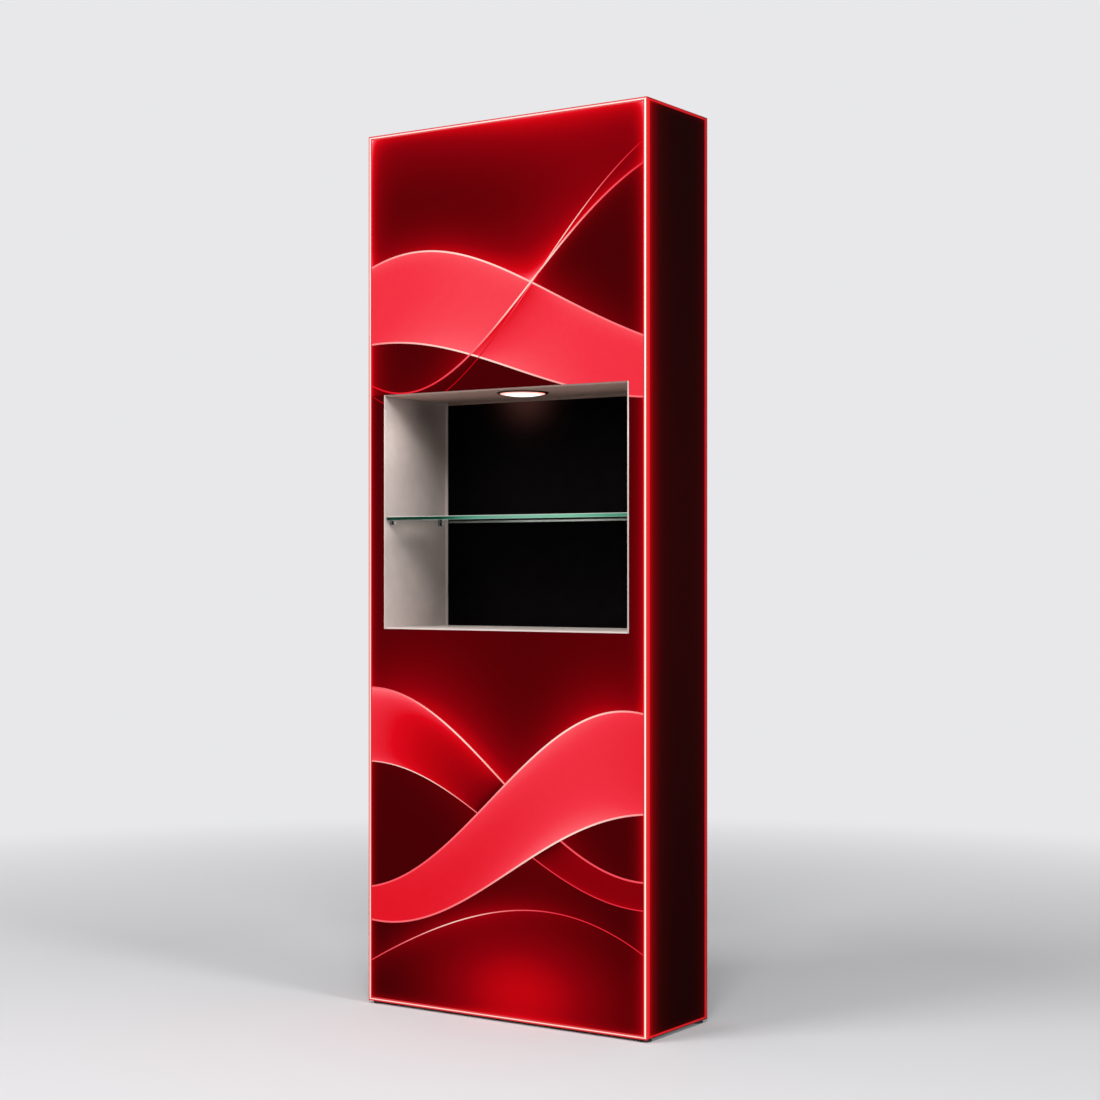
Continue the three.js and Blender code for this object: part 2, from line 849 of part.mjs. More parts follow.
function inletPocket() {
  const { flangeWidth, flangeHeight, flangeThickness, bodyWidth, bodyHeight, bodyDepth } = inlet;
  const flange = inletBlock(0, flangeWidth, flangeHeight, -fit.overrun, flangeThickness, fit.gap);
  return flange.add(inletBlock(0, bodyWidth, bodyHeight, 0, bodyDepth + fit.overrun, fit.gap));
}

function powerInlet() {
  const plate = prism(
    roundedRectangle(inlet.flangeWidth, inlet.flangeHeight, inlet.cornerRadius),
    inlet.flangeThickness,
    xAxis,
    zAxis,
    yAxis,
    inletPlace.clone().setY(inletPlace.y - inlet.flangeThickness),
  );
  const body = inletBlock(0, inlet.bodyWidth, inlet.bodyHeight, 0, inlet.bodyDepth);
  const w = inlet.socketWidth / 2;
  const h = inlet.socketHeight / 2;
  const cut = inlet.socketChamfer;
  const socket = prism(
    shapeOf([[-w, -h], [w, -h], [w, h - cut], [w - cut, h], [cut - w, h], [-w, h - cut]]),
    inlet.socketDepth + fit.overrun,
    xAxis,
    zAxis,
    yAxis,
    inletPlace.clone().add(new THREE.Vector3(inlet.socketOffset, -inlet.socketDepth, 0)),
  );
  const wellHeight = rocker.length + 2 * (rocker.endGap + fit.gap);
  const well = inletBlock(
    rocker.offset,
    rocker.width + 2 * fit.gap,
    wellHeight,
    -fit.overrun,
    rocker.wellDepth,
  );
  const pins = [-1, 0, 1].map((place) => {
    const pin = inletBlock(
      inlet.socketOffset + place * inlet.pinPitch,
      inlet.pinWidth,
      inlet.pinHeight,
      inlet.socketDepth - inlet.pinLength,
      inlet.socketDepth + fit.gap,
    );
    return place === 0 ? pin.translate([0, 0, inlet.pinDrop]) : pin.translate([0, 0, -inlet.pinDrop]);
  });
  return joined([plate.add(body).subtract(socket).subtract(well), ...pins]);
}

// The rocker's section is drawn level and then tilted about its pivot, one end pressed in.
function rockerSwitch() {
  const end = rocker.length / 2;
  const outline = shapeOf([
    [-end, rocker.rise],
    [-end, -rocker.depth],
    [end, -rocker.depth],
    [end, rocker.rise],
    [0, 0],
  ]);
  const matrix = new THREE.Matrix4()
    .makeTranslation(inletPlace.x + rocker.offset, inletPlace.y - rocker.pivotDepth, inletPlace.z)
    .multiply(new THREE.Matrix4().makeRotationX(rockerTilt))
    .multiply(new THREE.Matrix4().makeTranslation(-rocker.width / 2, rocker.pivotDepth, 0))
    .multiply(new THREE.Matrix4().makeBasis(zAxis, yAxis, xAxis));
  const bar = new THREE.ExtrudeGeometry(outline, { depth: rocker.width, bevelEnabled: false });
  return solidOf(bar, matrix);
}

// Levelling feet, one under each bottom corner casting

function footAt(face, side) {
  const corner = cornerOf(face, side, 'bottom');
  const points = [
    [0, 0],
    [foot.padRadius, 0],
    [foot.padRadius, foot.padHeight - foot.padChamfer],
    [foot.padRadius - foot.padChamfer, foot.padHeight],
    [0, foot.padHeight],
  ];
  const at = (z) => new THREE.Vector3(corner.x, corner.y, z);
  const nutTop = stand.floorGap - fit.gap;
  return joined([
    turned(points, facets.foot, zAxis, at(0)),
    rod(foot.nutRadius, at(foot.padHeight / 2), at(nutTop), facets.nut),
    rod(foot.stemRadius, at(foot.padHeight / 2), at(stand.floorGap + foot.stemLength), facets.stem),
  ]);
}

function footHole(face, side) {
  const corner = cornerOf(face, side, 'bottom');
  const at = (z) => new THREE.Vector3(corner.x, corner.y, z);
  const top = stand.floorGap + foot.stemLength + fit.overrun;
  return rod(foot.stemRadius + foot.clearance, at(stand.floorGap - fit.overrun), at(top), facets.stem);
}

// Assembly

const corners = [];
for (const face of Object.keys(faces)) {
  for (const side of Object.keys(sides)) {
    for (const level of Object.keys(levels)) corners.push({ face, side, level });
  }
}
const feet = corners.filter(({ level }) => level === 'bottom');
const footHoles = joined(feet.map(({ face, side }) => footHole(face, side)));

// What the frame members make room for: castings, side lights, panels, foot stems and the inlet.
const frameCuts = joined([
  ...corners.map(({ face, side, level }) => cornerConnector(face, side, level, fit.gap)),
  ...Object.keys(sides).map((side) => sideLightRing(side, fit.gap)),
  levelPanel('top', fit.gap),
  levelPanel('bottom', fit.gap),
  rearPanel(fit.gap),
  footHoles,
  inletPocket(),
]);

const sections = { front: frontSection, rear: rearSection };
for (const face of Object.keys(faces)) {
  for (const edge of [...Object.keys(levels), ...Object.keys(sides)]) {
    const member = mitred(sections[face](edge in sides), edge, face);
    addPiece(`${face}_frame_${edge}`, member.subtract(frameCuts), finishes.frame);
  }
}
for (const level of Object.keys(levels)) {
  for (const side of Object.keys(sides)) {
    addPiece(`depth_rail_${level}_${side}`, depthRail(side, level).subtract(frameCuts), finishes.frame);
  }
}
for (const { face, side, level } of corners) {
  const casting = cornerConnector(face, side, level).subtract(footHoles);
  addPiece(`corner_connector_${face}_${level}_${side}`, casting, finishes.casting);
}
for (const edge of [...Object.keys(levels), ...Object.keys(sides)]) {
  addPiece(`front_light_${edge}`, frontLightStrip(edge), finishes.whiteLight);
}
for (const side of Object.keys(sides)) {
  addPiece(`side_light_${side}`, sideLightRing(side), finishes.redLight);
  addPiece(`${side}_side_panel`, sidePanel(side), finishes.darkPanel);
}
addPiece('front_graphic', frontGraphic(), finishes.fabric);
addPiece('rear_panel', rearPanel(), finishes.blackPanel);
addPiece('top_panel', levelPanel('top'), finishes.blackPanel);
addPiece('base_panel', levelPanel('bottom'), finishes.blackPanel);

for (const side of Object.keys(sides)) {
  const holes = joined(studPlaces.filter((place) => place.side === side).map(studHole));
  addPiece(`showcase_${side}_wall`, showcaseSide(side).subtract(holes), finishes.shell);
}
const lampHole = rod(
  ceilingHole,
  lampPoint(nicheInside.top - fit.overrun),
  lampPoint(niche.top + fit.overrun),
  facets.lens,
);
addPiece('showcase_ceiling', showcaseLevel('top').subtract(lampHole), finishes.shell);
addPiece('showcase_floor', showcaseLevel('bottom'), finishes.shell);
addPiece('showcase_back', showcaseBack(), finishes.blackPanel);
addPiece('support_rail_front', supportRail(niche.front + support.setback), finishes.frame);
addPiece('support_rail_rear', supportRail(niche.back - support.setback), finishes.frame);
addPiece('glass_shelf', glassShelf(), finishes.glass);
for (const place of studPlaces) {
  addPiece(`shelf_stud_${place.row}_${place.side}`, shelfStud(place), finishes.chrome);
}

addPiece('downlight_bezel', downlightBezel(), finishes.bezel);
addPiece('downlight_lens', downlightLens(), finishes.lens);
addPiece('downlight_heat_sink', heatSinkBody(), finishes.heatSink);
for (const [side, out] of Object.entries(sides)) {
  addPiece(`downlight_clip_${side}`, springClip(out), finishes.spring);
}

ledHeights.forEach((height, i) => addPiece(`led_bar_${i + 1}`, ledBarAt(height), finishes.board));
addPiece('led_driver', powerDriver(), finishes.driver);
addPiece('power_inlet', powerInlet(), finishes.plastic);
addPiece('rocker_switch', rockerSwitch(), finishes.plastic);
for (const { face, side } of feet) {
  addPiece(`levelling_foot_${face}_${side}`, footAt(face, side), finishes.rubber);
}

export default standGroup;
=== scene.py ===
"""Finishes, print, glass, studio and camera for the edge-lit display tower. Metres throughout."""

import math
from typing import NamedTuple

import bmesh
import bpy
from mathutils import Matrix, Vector


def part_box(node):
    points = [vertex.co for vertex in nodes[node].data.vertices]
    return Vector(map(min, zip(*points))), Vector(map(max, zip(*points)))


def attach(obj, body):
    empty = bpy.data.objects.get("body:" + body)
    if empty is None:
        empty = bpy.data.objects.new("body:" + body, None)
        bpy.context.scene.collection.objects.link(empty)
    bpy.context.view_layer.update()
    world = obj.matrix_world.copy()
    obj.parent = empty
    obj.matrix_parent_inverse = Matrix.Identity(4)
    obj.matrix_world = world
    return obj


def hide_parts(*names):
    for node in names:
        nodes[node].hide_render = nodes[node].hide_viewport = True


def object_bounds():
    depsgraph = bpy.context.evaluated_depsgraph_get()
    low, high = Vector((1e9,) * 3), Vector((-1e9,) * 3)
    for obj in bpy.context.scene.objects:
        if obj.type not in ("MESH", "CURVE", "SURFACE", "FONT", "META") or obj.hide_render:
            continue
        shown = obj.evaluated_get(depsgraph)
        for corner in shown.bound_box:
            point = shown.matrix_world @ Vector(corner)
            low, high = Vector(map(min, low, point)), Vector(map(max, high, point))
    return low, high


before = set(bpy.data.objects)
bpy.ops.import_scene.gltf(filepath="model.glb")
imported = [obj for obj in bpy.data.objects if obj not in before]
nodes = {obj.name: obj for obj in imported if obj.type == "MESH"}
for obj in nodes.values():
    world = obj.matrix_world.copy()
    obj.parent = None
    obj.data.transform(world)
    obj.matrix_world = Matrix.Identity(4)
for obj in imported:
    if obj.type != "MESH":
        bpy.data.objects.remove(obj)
cad_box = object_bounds()

# Sizes read from the frame

STAND_LOW, STAND_HIGH = cad_box
SHEET_LOW, SHEET_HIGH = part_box("front_graphic")
NICHE_LOW, NICHE_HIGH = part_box("showcase_back")
SHELF_LOW, SHELF_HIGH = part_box("glass_shelf")
PANEL_LOW, PANEL_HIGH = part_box("right_side_panel")
LENS_LOW, LENS_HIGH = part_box("downlight_lens")
HALF_WIDTH = SHEET_HIGH.x

# The camera, fitted to the photograph

PHOTO_SIDE_PX = 1100
FOCAL_PX = 2088.2
HORIZON_PX = 570.55
SENSOR_MM = 36.0
CAMERA_PLACE = (3.1886, -4.6860, 1.1984)
CAMERA_TILT = 90.0
CAMERA_AZIMUTH = 33.805


def make_camera():
    data = bpy.data.cameras.new("camera")
    data.sensor_width = SENSOR_MM
    data.lens = FOCAL_PX / PHOTO_SIDE_PX * SENSOR_MM
    data.shift_y = (HORIZON_PX - PHOTO_SIDE_PX / 2) / PHOTO_SIDE_PX
    camera = bpy.data.objects.new("camera", data)
    camera.location = CAMERA_PLACE
    camera.rotation_euler = (math.radians(CAMERA_TILT), 0, math.radians(CAMERA_AZIMUTH))
    bpy.context.scene.collection.objects.link(camera)
    bpy.context.scene.camera = camera


# Colours and shader arithmetic

SMOOTH_DETAIL = 2.0
SOFT_DETAIL = 3.0
GRAIN_DETAIL = 4.0
STREAK_DETAIL = 5.0
EVEN = (1, 1, 1)


def srgb(red, green, blue):
    """A colour from 0 to 255 as it looks on screen, in the linear values that shaders use."""

    def linear(value):
        value /= 255
        return value / 12.92 if value <= 0.04045 else ((value + 0.055) / 1.055) ** 2.4

    return (linear(red), linear(green), linear(blue), 1.0)


BLACK = srgb(0, 0, 0)
WHITE = (1.0, 1.0, 1.0, 1.0)


def calc(operation, *values):
    """One Math node; at least one of the values is a Field."""
    tree = next(value.tree for value in values if isinstance(value, Field))
    node = tree.nodes.new("ShaderNodeMath")
    node.operation = operation
    for socket, value in zip(node.inputs, values):
        if isinstance(value, Field):
            tree.links.new(value.socket, socket)
        else:
            socket.default_value = value
    return Field(tree, node.outputs[0])


class Field:
    """A number that varies over a surface, added to and multiplied like a plain number."""

    def __init__(self, tree, socket):
        self.tree = tree
        self.socket = socket

    def __add__(self, other):
        return calc("ADD", self, other)

    def __radd__(self, other):
        return calc("ADD", other, self)

    def __sub__(self, other):
        return calc("SUBTRACT", self, other)

    def __rsub__(self, other):
        return calc("SUBTRACT", other, self)

    def __mul__(self, other):
        return calc("MULTIPLY", self, other)

    def __rmul__(self, other):
        return calc("MULTIPLY", other, self)

    def __truediv__(self, other):
        return calc("DIVIDE", self, other)

    def __neg__(self):
        return calc("MULTIPLY", self, -1.0)


def sine(value):
    return calc("SINE", value) if isinstance(value, Field) else math.sin(value)


def cosine(value):
    return calc("COSINE", value) if isinstance(value, Field) else math.cos(value)


def size_of(value):
    """A field without its sign."""
    return calc("ABSOLUTE", value)


def above(distance):
    """1 where a distance is positive and 0 where it isn't."""
    return calc("GREATER_THAN", distance, 0.0)


def glow(distance, reach, strength):
    """Light that falls away on both sides of a line."""
    return strength * calc("EXPONENT", size_of(distance) / -reach)


def spot(value, middle, spread):
    """1 at the middle and falling to nothing either side, as a bell curve."""
    offset = (value - middle) / spread
    return calc("EXPONENT", -(offset * offset))


def grained(value, grain, span):
    """A value that drifts by up to half a span either way with a grain."""
    return value + span * (grain - 0.5)


def share_along(value, low, high):
    """0 at the low end and 1 at the high end."""
    return (value - low) / (high - low)


def split_xyz(tree, vector):
    split = tree.nodes.new("ShaderNodeSeparateXYZ")
    tree.links.new(vector, split.inputs[0])
    return [Field(tree, split.outputs[i]) for i in range(3)]


def facing(tree):
    """The x, y and z of the direction a surface faces."""
    return split_xyz(tree, tree.nodes.new("ShaderNodeNewGeometry").outputs["True Normal"])


def noise(tree, scale, detail=GRAIN_DETAIL, stretch=EVEN):
    """A field of cloudy grain; a larger scale is finer, and more detail is rougher."""
    place = tree.nodes.new("ShaderNodeTexCoord")
    mapping = tree.nodes.new("ShaderNodeMapping")
    mapping.inputs["Scale"].default_value = stretch
    node = tree.nodes.new("ShaderNodeTexNoise")
    node.inputs["Scale"].default_value = scale
    node.inputs["Detail"].default_value = detail
    tree.links.new(place.outputs["Object"], mapping.inputs["Vector"])
    tree.links.new(mapping.outputs["Vector"], node.inputs["Vector"])
    return Field(tree, node.outputs["Fac"])


def ramp(tree, value, stops):
    """A colour that changes with a field; stops is a list of (position, colour)."""
    node = tree.nodes.new("ShaderNodeValToRGB")
    elements = node.color_ramp.elements
    for position, color in stops[1:-1]:
        elements.new(position).color = color
    elements[0].position, elements[0].color = stops[0]
    elements[-1].position, elements[-1].color = stops[-1]
    tree.links.new(value.socket, node.inputs["Fac"])
    return node.outputs["Color"]


def feed(tree, source, socket):
    """Links a field or a colour to a socket, or sets the socket to a plain number."""
    if isinstance(source, float):
        socket.default_value = source
    else:
        tree.links.new(source.socket if isinstance(source, Field) else source, socket)


def scaled(tree, color, share):
    """A colour times a number or a field."""
    node = tree.nodes.new("ShaderNodeVectorMath")
    node.operation = "SCALE"
    feed(tree, color, node.inputs[0])
    feed(tree, share, node.inputs["Scale"])
    return node.outputs[0]


def summed(tree, first, second):
    """One colour added to another."""
    node = tree.nodes.new("ShaderNodeVectorMath")
    node.operation = "ADD"
    feed(tree, first, node.inputs[0])
    feed(tree, second, node.inputs[1])
    return node.outputs[0]


# Materials

GRAIN_STOPS = (0.3, 0.7)
ROUGHNESS_DRIFT = 0.12
MATT_IOR = 1.05


def new_material(name):
    """A material with its tree, its Principled shader and the surface's own x, y and z."""
    material = bpy.data.materials.new(name)
    material.use_nodes = True
    tree = material.node_tree
    place = tree.nodes.new("ShaderNodeTexCoord")
    return material, tree, tree.nodes["Principled BSDF"], split_xyz(tree, place.outputs["Object"])


def settle(shader, **values):
    """Sets a shader's own sockets; an underscore stands for a space in a socket's name."""
    for name, value in values.items():
        shader.inputs[name.replace("_", " ")].default_value = value


def shine(tree, shader, color, strength, base_share):
    """Makes a surface glow in a colour, and gives it a share of that colour in plain light."""
    feed(tree, color, shader.inputs["Emission Color"])
    feed(tree, scaled(tree, color, base_share), shader.inputs["Base Color"])
    settle(shader, Emission_Strength=strength)


def add_bump(tree, shader, height, distance):
    node = tree.nodes.new("ShaderNodeBump")
    node.inputs["Distance"].default_value = distance
    feed(tree, height, node.inputs["Height"])
    feed(tree, node.outputs["Normal"], shader.inputs["Normal"])


def between_tones(tree, grain, dark, light):
    """A colour that drifts between two tones with a grain."""
    return ramp(tree, grain, list(zip(GRAIN_STOPS, (dark, light))))


def finish(name, dark, light, roughness, scale, metallic=0.0, stretch=EVEN, bump=0.0):
    """A plain finish: its colour and its roughness drift between two values with a fine grain."""
    material, tree, shader, _ = new_material(name)
    grain = noise(tree, scale, stretch=stretch)
    feed(tree, between_tones(tree, grain, dark, light), shader.inputs["Base Color"])
    feed(tree, grained(roughness, grain, ROUGHNESS_DRIFT), shader.inputs["Roughness"])
    settle(shader, Metallic=metallic)
    if bump:
        add_bump(tree, shader, grain, bump)
    return material


def paint(material, *names):
    for name in names:
        obj = nodes[name]
        if not obj.material_slots:
            obj.data.materials.append(material)
        for slot in obj.material_slots:
            slot.link = "OBJECT"
            slot.material = material


def named(*starts):
    return [name for name in nodes if name.startswith(starts)]


# The curves of the print: two pairs of sweeps that cross, drawn by formula

QUARTER_TURN = math.pi / 2
ZONE_ABOVE = (NICHE_HIGH.z, SHEET_HIGH.z)
ZONE_BELOW = (SHEET_LOW.z, NICHE_LOW.z)


class Curve:
    """Half a wave from the sheet's left edge to its right, with a bow in the middle.

    Its heights are shares of a zone, the sheet above or below the showcase. The place across the
    sheet is a number or a field.
    """

    def __init__(self, zone, left_share, right_share, bow_share=0.0):
        low, high = zone
        tall = high - low
        self.middle = low + (left_share + right_share) / 2 * tall
        self.half_rise = (right_share - left_share) / 2 * tall
        self.bow = bow_share * tall

    def height(self, x):
        across = x / HALF_WIDTH
        wave = self.half_rise * sine(QUARTER_TURN * across)
        return self.middle + wave + self.bow * (1.0 - across * across)

    def steepness(self, x):
        across = x / HALF_WIDTH
        wave = self.half_rise * QUARTER_TURN * cosine(QUARTER_TURN * across)
        return (wave - 2 * self.bow * across) / HALF_WIDTH

    def distance(self, x, z):
        """How far above the curve a place is, square to it, as a field."""
        steep = self.steepness(x)
        return (z - self.height(x)) / calc("SQRT", 1.0 + steep * steep)


FALLING_UPPER = Curve(ZONE_ABOVE, 0.50, 0.16, 0.12)
FALLING_LOWER = Curve(ZONE_ABOVE, 0.20, -0.06, 0.02)
COUNTER = Curve(ZONE_ABOVE, 0.04, 0.78, -0.15)
COUNTER_ECHO = Curve(ZONE_ABOVE, 0.00, 0.86, -0.20)
DIVING_UPPER = Curve(ZONE_BELOW, 0.84, 0.38)
DIVING_LOWER = Curve(ZONE_BELOW, 0.64, 0.31)
CLIMBING_UPPER = Curve(ZONE_BELOW, 0.30, 0.80, 0.04)
CLIMBING_LOWER = Curve(ZONE_BELOW, 0.21, 0.55, -0.02)
GROUND_LINE = Curve(ZONE_BELOW, 0.10, 0.20, 0.12)

# How bright the print is, from 0 to 1


class Rim(NamedTuple):
    """Light that falls away from an edge."""

    reach: float
    strength: float

    def beside(self, distance):
        return glow(distance, self.reach, self.strength)


class Swell(NamedTuple):
    """Light that is strongest at one place across the sheet."""

    strength: float
    peak: float
    spread: float

    def level(self, x, _):
        return self.strength * spot(x, self.peak, self.spread)


class Spill(NamedTuple):
    """Light beside a curve, strongest at one place across the sheet or even all the way along."""

    curve: Curve
    reach: float
    strength: float
    peak: float = 0.0
    spread: float = 0.0

    def level(self, x, z):
        light = glow(self.curve.distance(x, z), self.reach, self.strength)
        return light * spot(x, self.peak, self.spread) if self.spread else light


def lit(level, lights, *place):
    """A level with the light of every one of a list added at a place."""
    for light in lights:
        level = level + light.level(*place)
    return level


LEFT_RIM = Rim(reach=0.009, strength=0.26)
RIGHT_RIM = Rim(reach=0.014, strength=0.36)
TOP_RIM = Rim(reach=0.012, strength=0.16)
BOTTOM_RIM = Rim(reach=0.008, strength=0.18)
UPPER_LEFT_WASH = Rim(reach=0.035, strength=0.24)
TOP_WASH_REACH, TOP_WASH_BASE = 0.1, 0.26
TOP_WASH_SWELL = Swell(strength=0.14, peak=0.1, spread=0.3)

GROUND_BASE = 0.09
GROUND_RISE = 0.02
SILL_LIFT, SILL_SPREAD = 0.05, 0.5
FLOOD_LIFT = 0.42
FLOOD_X, FLOOD_X_SPREAD = 0.06, 0.26
FLOOD_Z, FLOOD_Z_SPREAD = 0.08, 0.16
OVER_COUNTER = Spill(COUNTER, reach=0.1, strength=0.36, peak=0.12, spread=0.3)
GROUND_LIGHTS = [
    Spill(COUNTER, reach=0.014, strength=0.24, peak=0.15, spread=0.3),
    Spill(FALLING_UPPER, reach=0.05, strength=0.4, peak=-0.1, spread=0.4),
    Spill(DIVING_UPPER, reach=0.07, strength=0.46, peak=-0.12, spread=0.3),
    Spill(CLIMBING_UPPER, reach=0.06, strength=0.36, peak=0.28, spread=0.2),
    Spill(GROUND_LINE, reach=0.03, strength=0.24, peak=-0.1, spread=0.3),
]

FALLING_BASE = 0.72
FALLING_LIGHTS = [
    Swell(strength=0.04, peak=0.0, spread=0.3),
    Spill(FALLING_UPPER, reach=0.018, strength=0.07),
    Spill(FALLING_LOWER, reach=0.05, strength=0.1, peak=-0.1, spread=0.25),
]
UNDER_COUNTER = Spill(COUNTER, reach=0.05, strength=0.16)

DIVING_BASE = 0.3
DIVING_LIGHTS = [
    Swell(strength=0.4, peak=-0.5, spread=0.3),
    Spill(DIVING_UPPER, reach=0.03, strength=0.3, peak=-0.2, spread=0.4),
    Spill(DIVING_LOWER, reach=0.012, strength=0.12),
]
DIVING_SHADES = [Spill(curve, reach=0.03, strength=0.7) for curve in (CLIMBING_UPPER, CLIMBING_LOWER)]

CLIMBING_BASE = 0.65
CLIMBING_LIGHTS = [
    Swell(strength=0.06, peak=0.25, spread=0.25),
    Spill(CLIMBING_UPPER, reach=0.03, strength=0.14, peak=0.1, spread=0.3),
    Spill(CLIMBING_LOWER, reach=0.035, strength=0.16, peak=0.2, spread=0.25),
]


def edge_glow(x, z):
    """Light that spills on to the sheet from the strips round it, widest at the top left."""
    from_left = x - SHEET_LOW.x
    from_top = SHEET_HIGH.z - z
    top_strength = TOP_WASH_BASE + TOP_WASH_SWELL.level(x, z)
    return (
        UPPER_LEFT_WASH.beside(from_left) * above(z - NICHE_HIGH.z)
        + LEFT_RIM.beside(from_left)
        + RIGHT_RIM.beside(SHEET_HIGH.x - x)
        + BOTTOM_RIM.beside(z - SHEET_LOW.z)
        + TOP_RIM.beside(from_top)
        + glow(from_top, TOP_WASH_REACH, top_strength)
    )


def ground_brightness(x, z):
    """Dark, with light beside the curves, round the edges and in a pool low in the middle."""
    high = share_along(z, NICHE_LOW.z, SHEET_HIGH.z)
    high = calc("MINIMUM", calc("MAXIMUM", high, 0.0), 1.0)
    level = GROUND_BASE + GROUND_RISE * high + SILL_LIFT * spot(z, NICHE_LOW.z, SILL_SPREAD)
    level = level + edge_glow(x, z) + OVER_COUNTER.level(x, z) * above(COUNTER.distance(x, z))
    level = lit(level, GROUND_LIGHTS, x, z)
    return level + FLOOD_LIFT * spot(x, FLOOD_X, FLOOD_X_SPREAD) * spot(z, FLOOD_Z, FLOOD_Z_SPREAD)


def falling_brightness(x, z):
    """Lit along both edges, and shaded under the counter line."""
    under = 1.0 - above(COUNTER.distance(x, z))
    return lit(FALLING_BASE, FALLING_LIGHTS, x, z) - UNDER_COUNTER.level(x, z) * under


def diving_brightness(x, z):
    """Brightest at the left, and shaded where the climbing band passes over it."""
    upper_shade, lower_shade = (shade.level(x, z) for shade in DIVING_SHADES)
    return lit(DIVING_BASE, DIVING_LIGHTS, x, z) * (1.0 - (upper_shade + lower_shade))


def climbing_brightness(x, z):
    """Lit along both edges, most of all right of the middle."""
    return lit(CLIMBING_BASE, CLIMBING_LIGHTS, x, z)


# The printed cloth's material

PRINT_STOPS = [
    (0.0, srgb(40, 0, 2)),
    (0.12, srgb(72, 0, 3)),
    (0.35, srgb(139, 0, 10)),
    (0.52, srgb(190, 3, 14)),
    (0.63, srgb(220, 8, 26)),
    (0.74, srgb(240, 52, 68)),
    (0.84, srgb(252, 92, 102)),
    (0.92, srgb(255, 140, 140)),
    (1.0, srgb(255, 225, 212)),
]
PRINT_EMISSION = 0.72
PRINT_BASE_SHARE = 0.3
PRINT_ROUGHNESS = 0.7
PRINT_GRAIN_SCALE = 60.0
PRINT_GRAIN = 0.012
KNIT_PITCH = 0.0011
KNIT_DEPTH = 0.00006


def print_material(name, brightness):
    """Back-lit printed textile; brightness(x, z) gives how bright the print is, from 0 to 1."""
    material, tree, shader, (x, _, z) = new_material(name)
    grain = noise(tree, PRINT_GRAIN_SCALE, SOFT_DETAIL)
    level = grained(brightness(x, z), grain, PRINT_GRAIN)
    shine(tree, shader, ramp(tree, level, PRINT_STOPS), PRINT_EMISSION, PRINT_BASE_SHARE)
    settle(shader, Roughness=PRINT_ROUGHNESS, IOR=MATT_IOR)
    per_metre = 2 * math.pi / KNIT_PITCH
    add_bump(tree, shader, sine(x * per_metre) * sine(z * per_metre), KNIT_DEPTH)
    return material


# Meshes of the front plane

ACROSS, UP = 0, 2
SHEET_FRONT = SHEET_LOW.y
SHEET_THICKNESS = 0.0009
SHEET_CELL = 0.02
ROLL = 0.0006
ROLL_SHARES = (0.0, 0.1, 0.4, 1.0)
BEAD_WIDTH = 0.0029
CUT_GAP = 0.0003
CUT_LOW = NICHE_LOW - Vector((CUT_GAP,) * 3)
CUT_HIGH = NICHE_HIGH + Vector((CUT_GAP,) * 3)
BISECT_DISTANCE = 1e-6


def make_object(name, mesh):
    bmesh.ops.recalc_face_normals(mesh, faces=mesh.faces[:])
    data = bpy.data.meshes.new(name)
    mesh.to_mesh(data)
    mesh.free()
    obj = bpy.data.objects.new(name, data)
    bpy.context.scene.collection.objects.link(obj)
    return obj


def ride(obj, body, material):
    obj.data.materials.append(material)
    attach(obj, body)
    return obj


def in_cut(x, z):
    """Whether a place lies in the cut-out for the showcase."""
    return CUT_LOW.x < x < CUT_HIGH.x and CUT_LOW.z < z < CUT_HIGH.z


def cut_to_sheet(mesh):
    """Trims a mesh in the front plane to the sheet's edges and takes out the showcase opening."""

    def bisect(place, normal, clear=False):
        geometry = mesh.verts[:] + mesh.edges[:] + mesh.faces[:]
        bmesh.ops.bisect_plane(
            mesh,
            geom=geometry,
            plane_co=place,
            plane_no=normal,
            clear_outer=clear,
            dist=BISECT_DISTANCE,
        )

    bisect(SHEET_LOW, (0, 0, -1), True)
    bisect(SHEET_HIGH, (0, 0, 1), True)
    for corner in (CUT_LOW, CUT_HIGH):
        bisect(corner, (1, 0, 0))
        bisect(corner, (0, 0, 1))
    middles = {face: face.calc_center_median() for face in mesh.faces}
    inside = [face for face, middle in middles.items() if in_cut(middle.x, middle.z)]
    bmesh.ops.delete(mesh, geom=inside, context="FACES")


def strip_between(lower, upper, columns):
    """A strip of the front plane between two curves' heights, cut to the sheet."""
    mesh = bmesh.new()
    rows = []
    for i in range(columns + 1):
        x = SHEET_LOW.x + (SHEET_HIGH.x - SHEET_LOW.x) * i / columns
        rows.append([mesh.verts.new((x, 0, height(x))) for height in (lower, upper)])
    for left, right in zip(rows, rows[1:]):
        mesh.faces.new((left[0], right[0], right[1], left[1]))
    cut_to_sheet(mesh)
    return mesh


def slab(name, mesh, front, back):
    """Gives a mesh of the front plane its thickness and makes it a piece."""
    for vertex in mesh.verts:
        vertex.co.y = front
    extruded = bmesh.ops.extrude_face_region(mesh, geom=mesh.faces[:], use_keep_orig=True)
    for item in extruded["geom"]:
        if isinstance(item, bmesh.types.BMVert):
            item.co.y = back
    return make_object(name, mesh)


def spaced(low, high, step):
    count = round((high - low) / step)
    return [low + (high - low) * i / count for i in range(count + 1)]


def rolled(low, high):
    """Grid places from one edge of the cloth to another, closer where it rolls over at each."""
    near = [low + ROLL * share for share in ROLL_SHARES]
    far = [high - ROLL * share for share in reversed(ROLL_SHARES)]
    return near + spaced(near[-1], far[0], SHEET_CELL)[1:-1] + far


def sheet_places(axis):
    """The grid places of the cloth along one axis, edge to cut-out to edge."""
    before = rolled(SHEET_LOW[axis], CUT_LOW[axis])
    across_cut = spaced(CUT_LOW[axis], CUT_HIGH[axis], SHEET_CELL)[1:-1]
    return before + across_cut + rolled(CUT_HIGH[axis], SHEET_HIGH[axis])


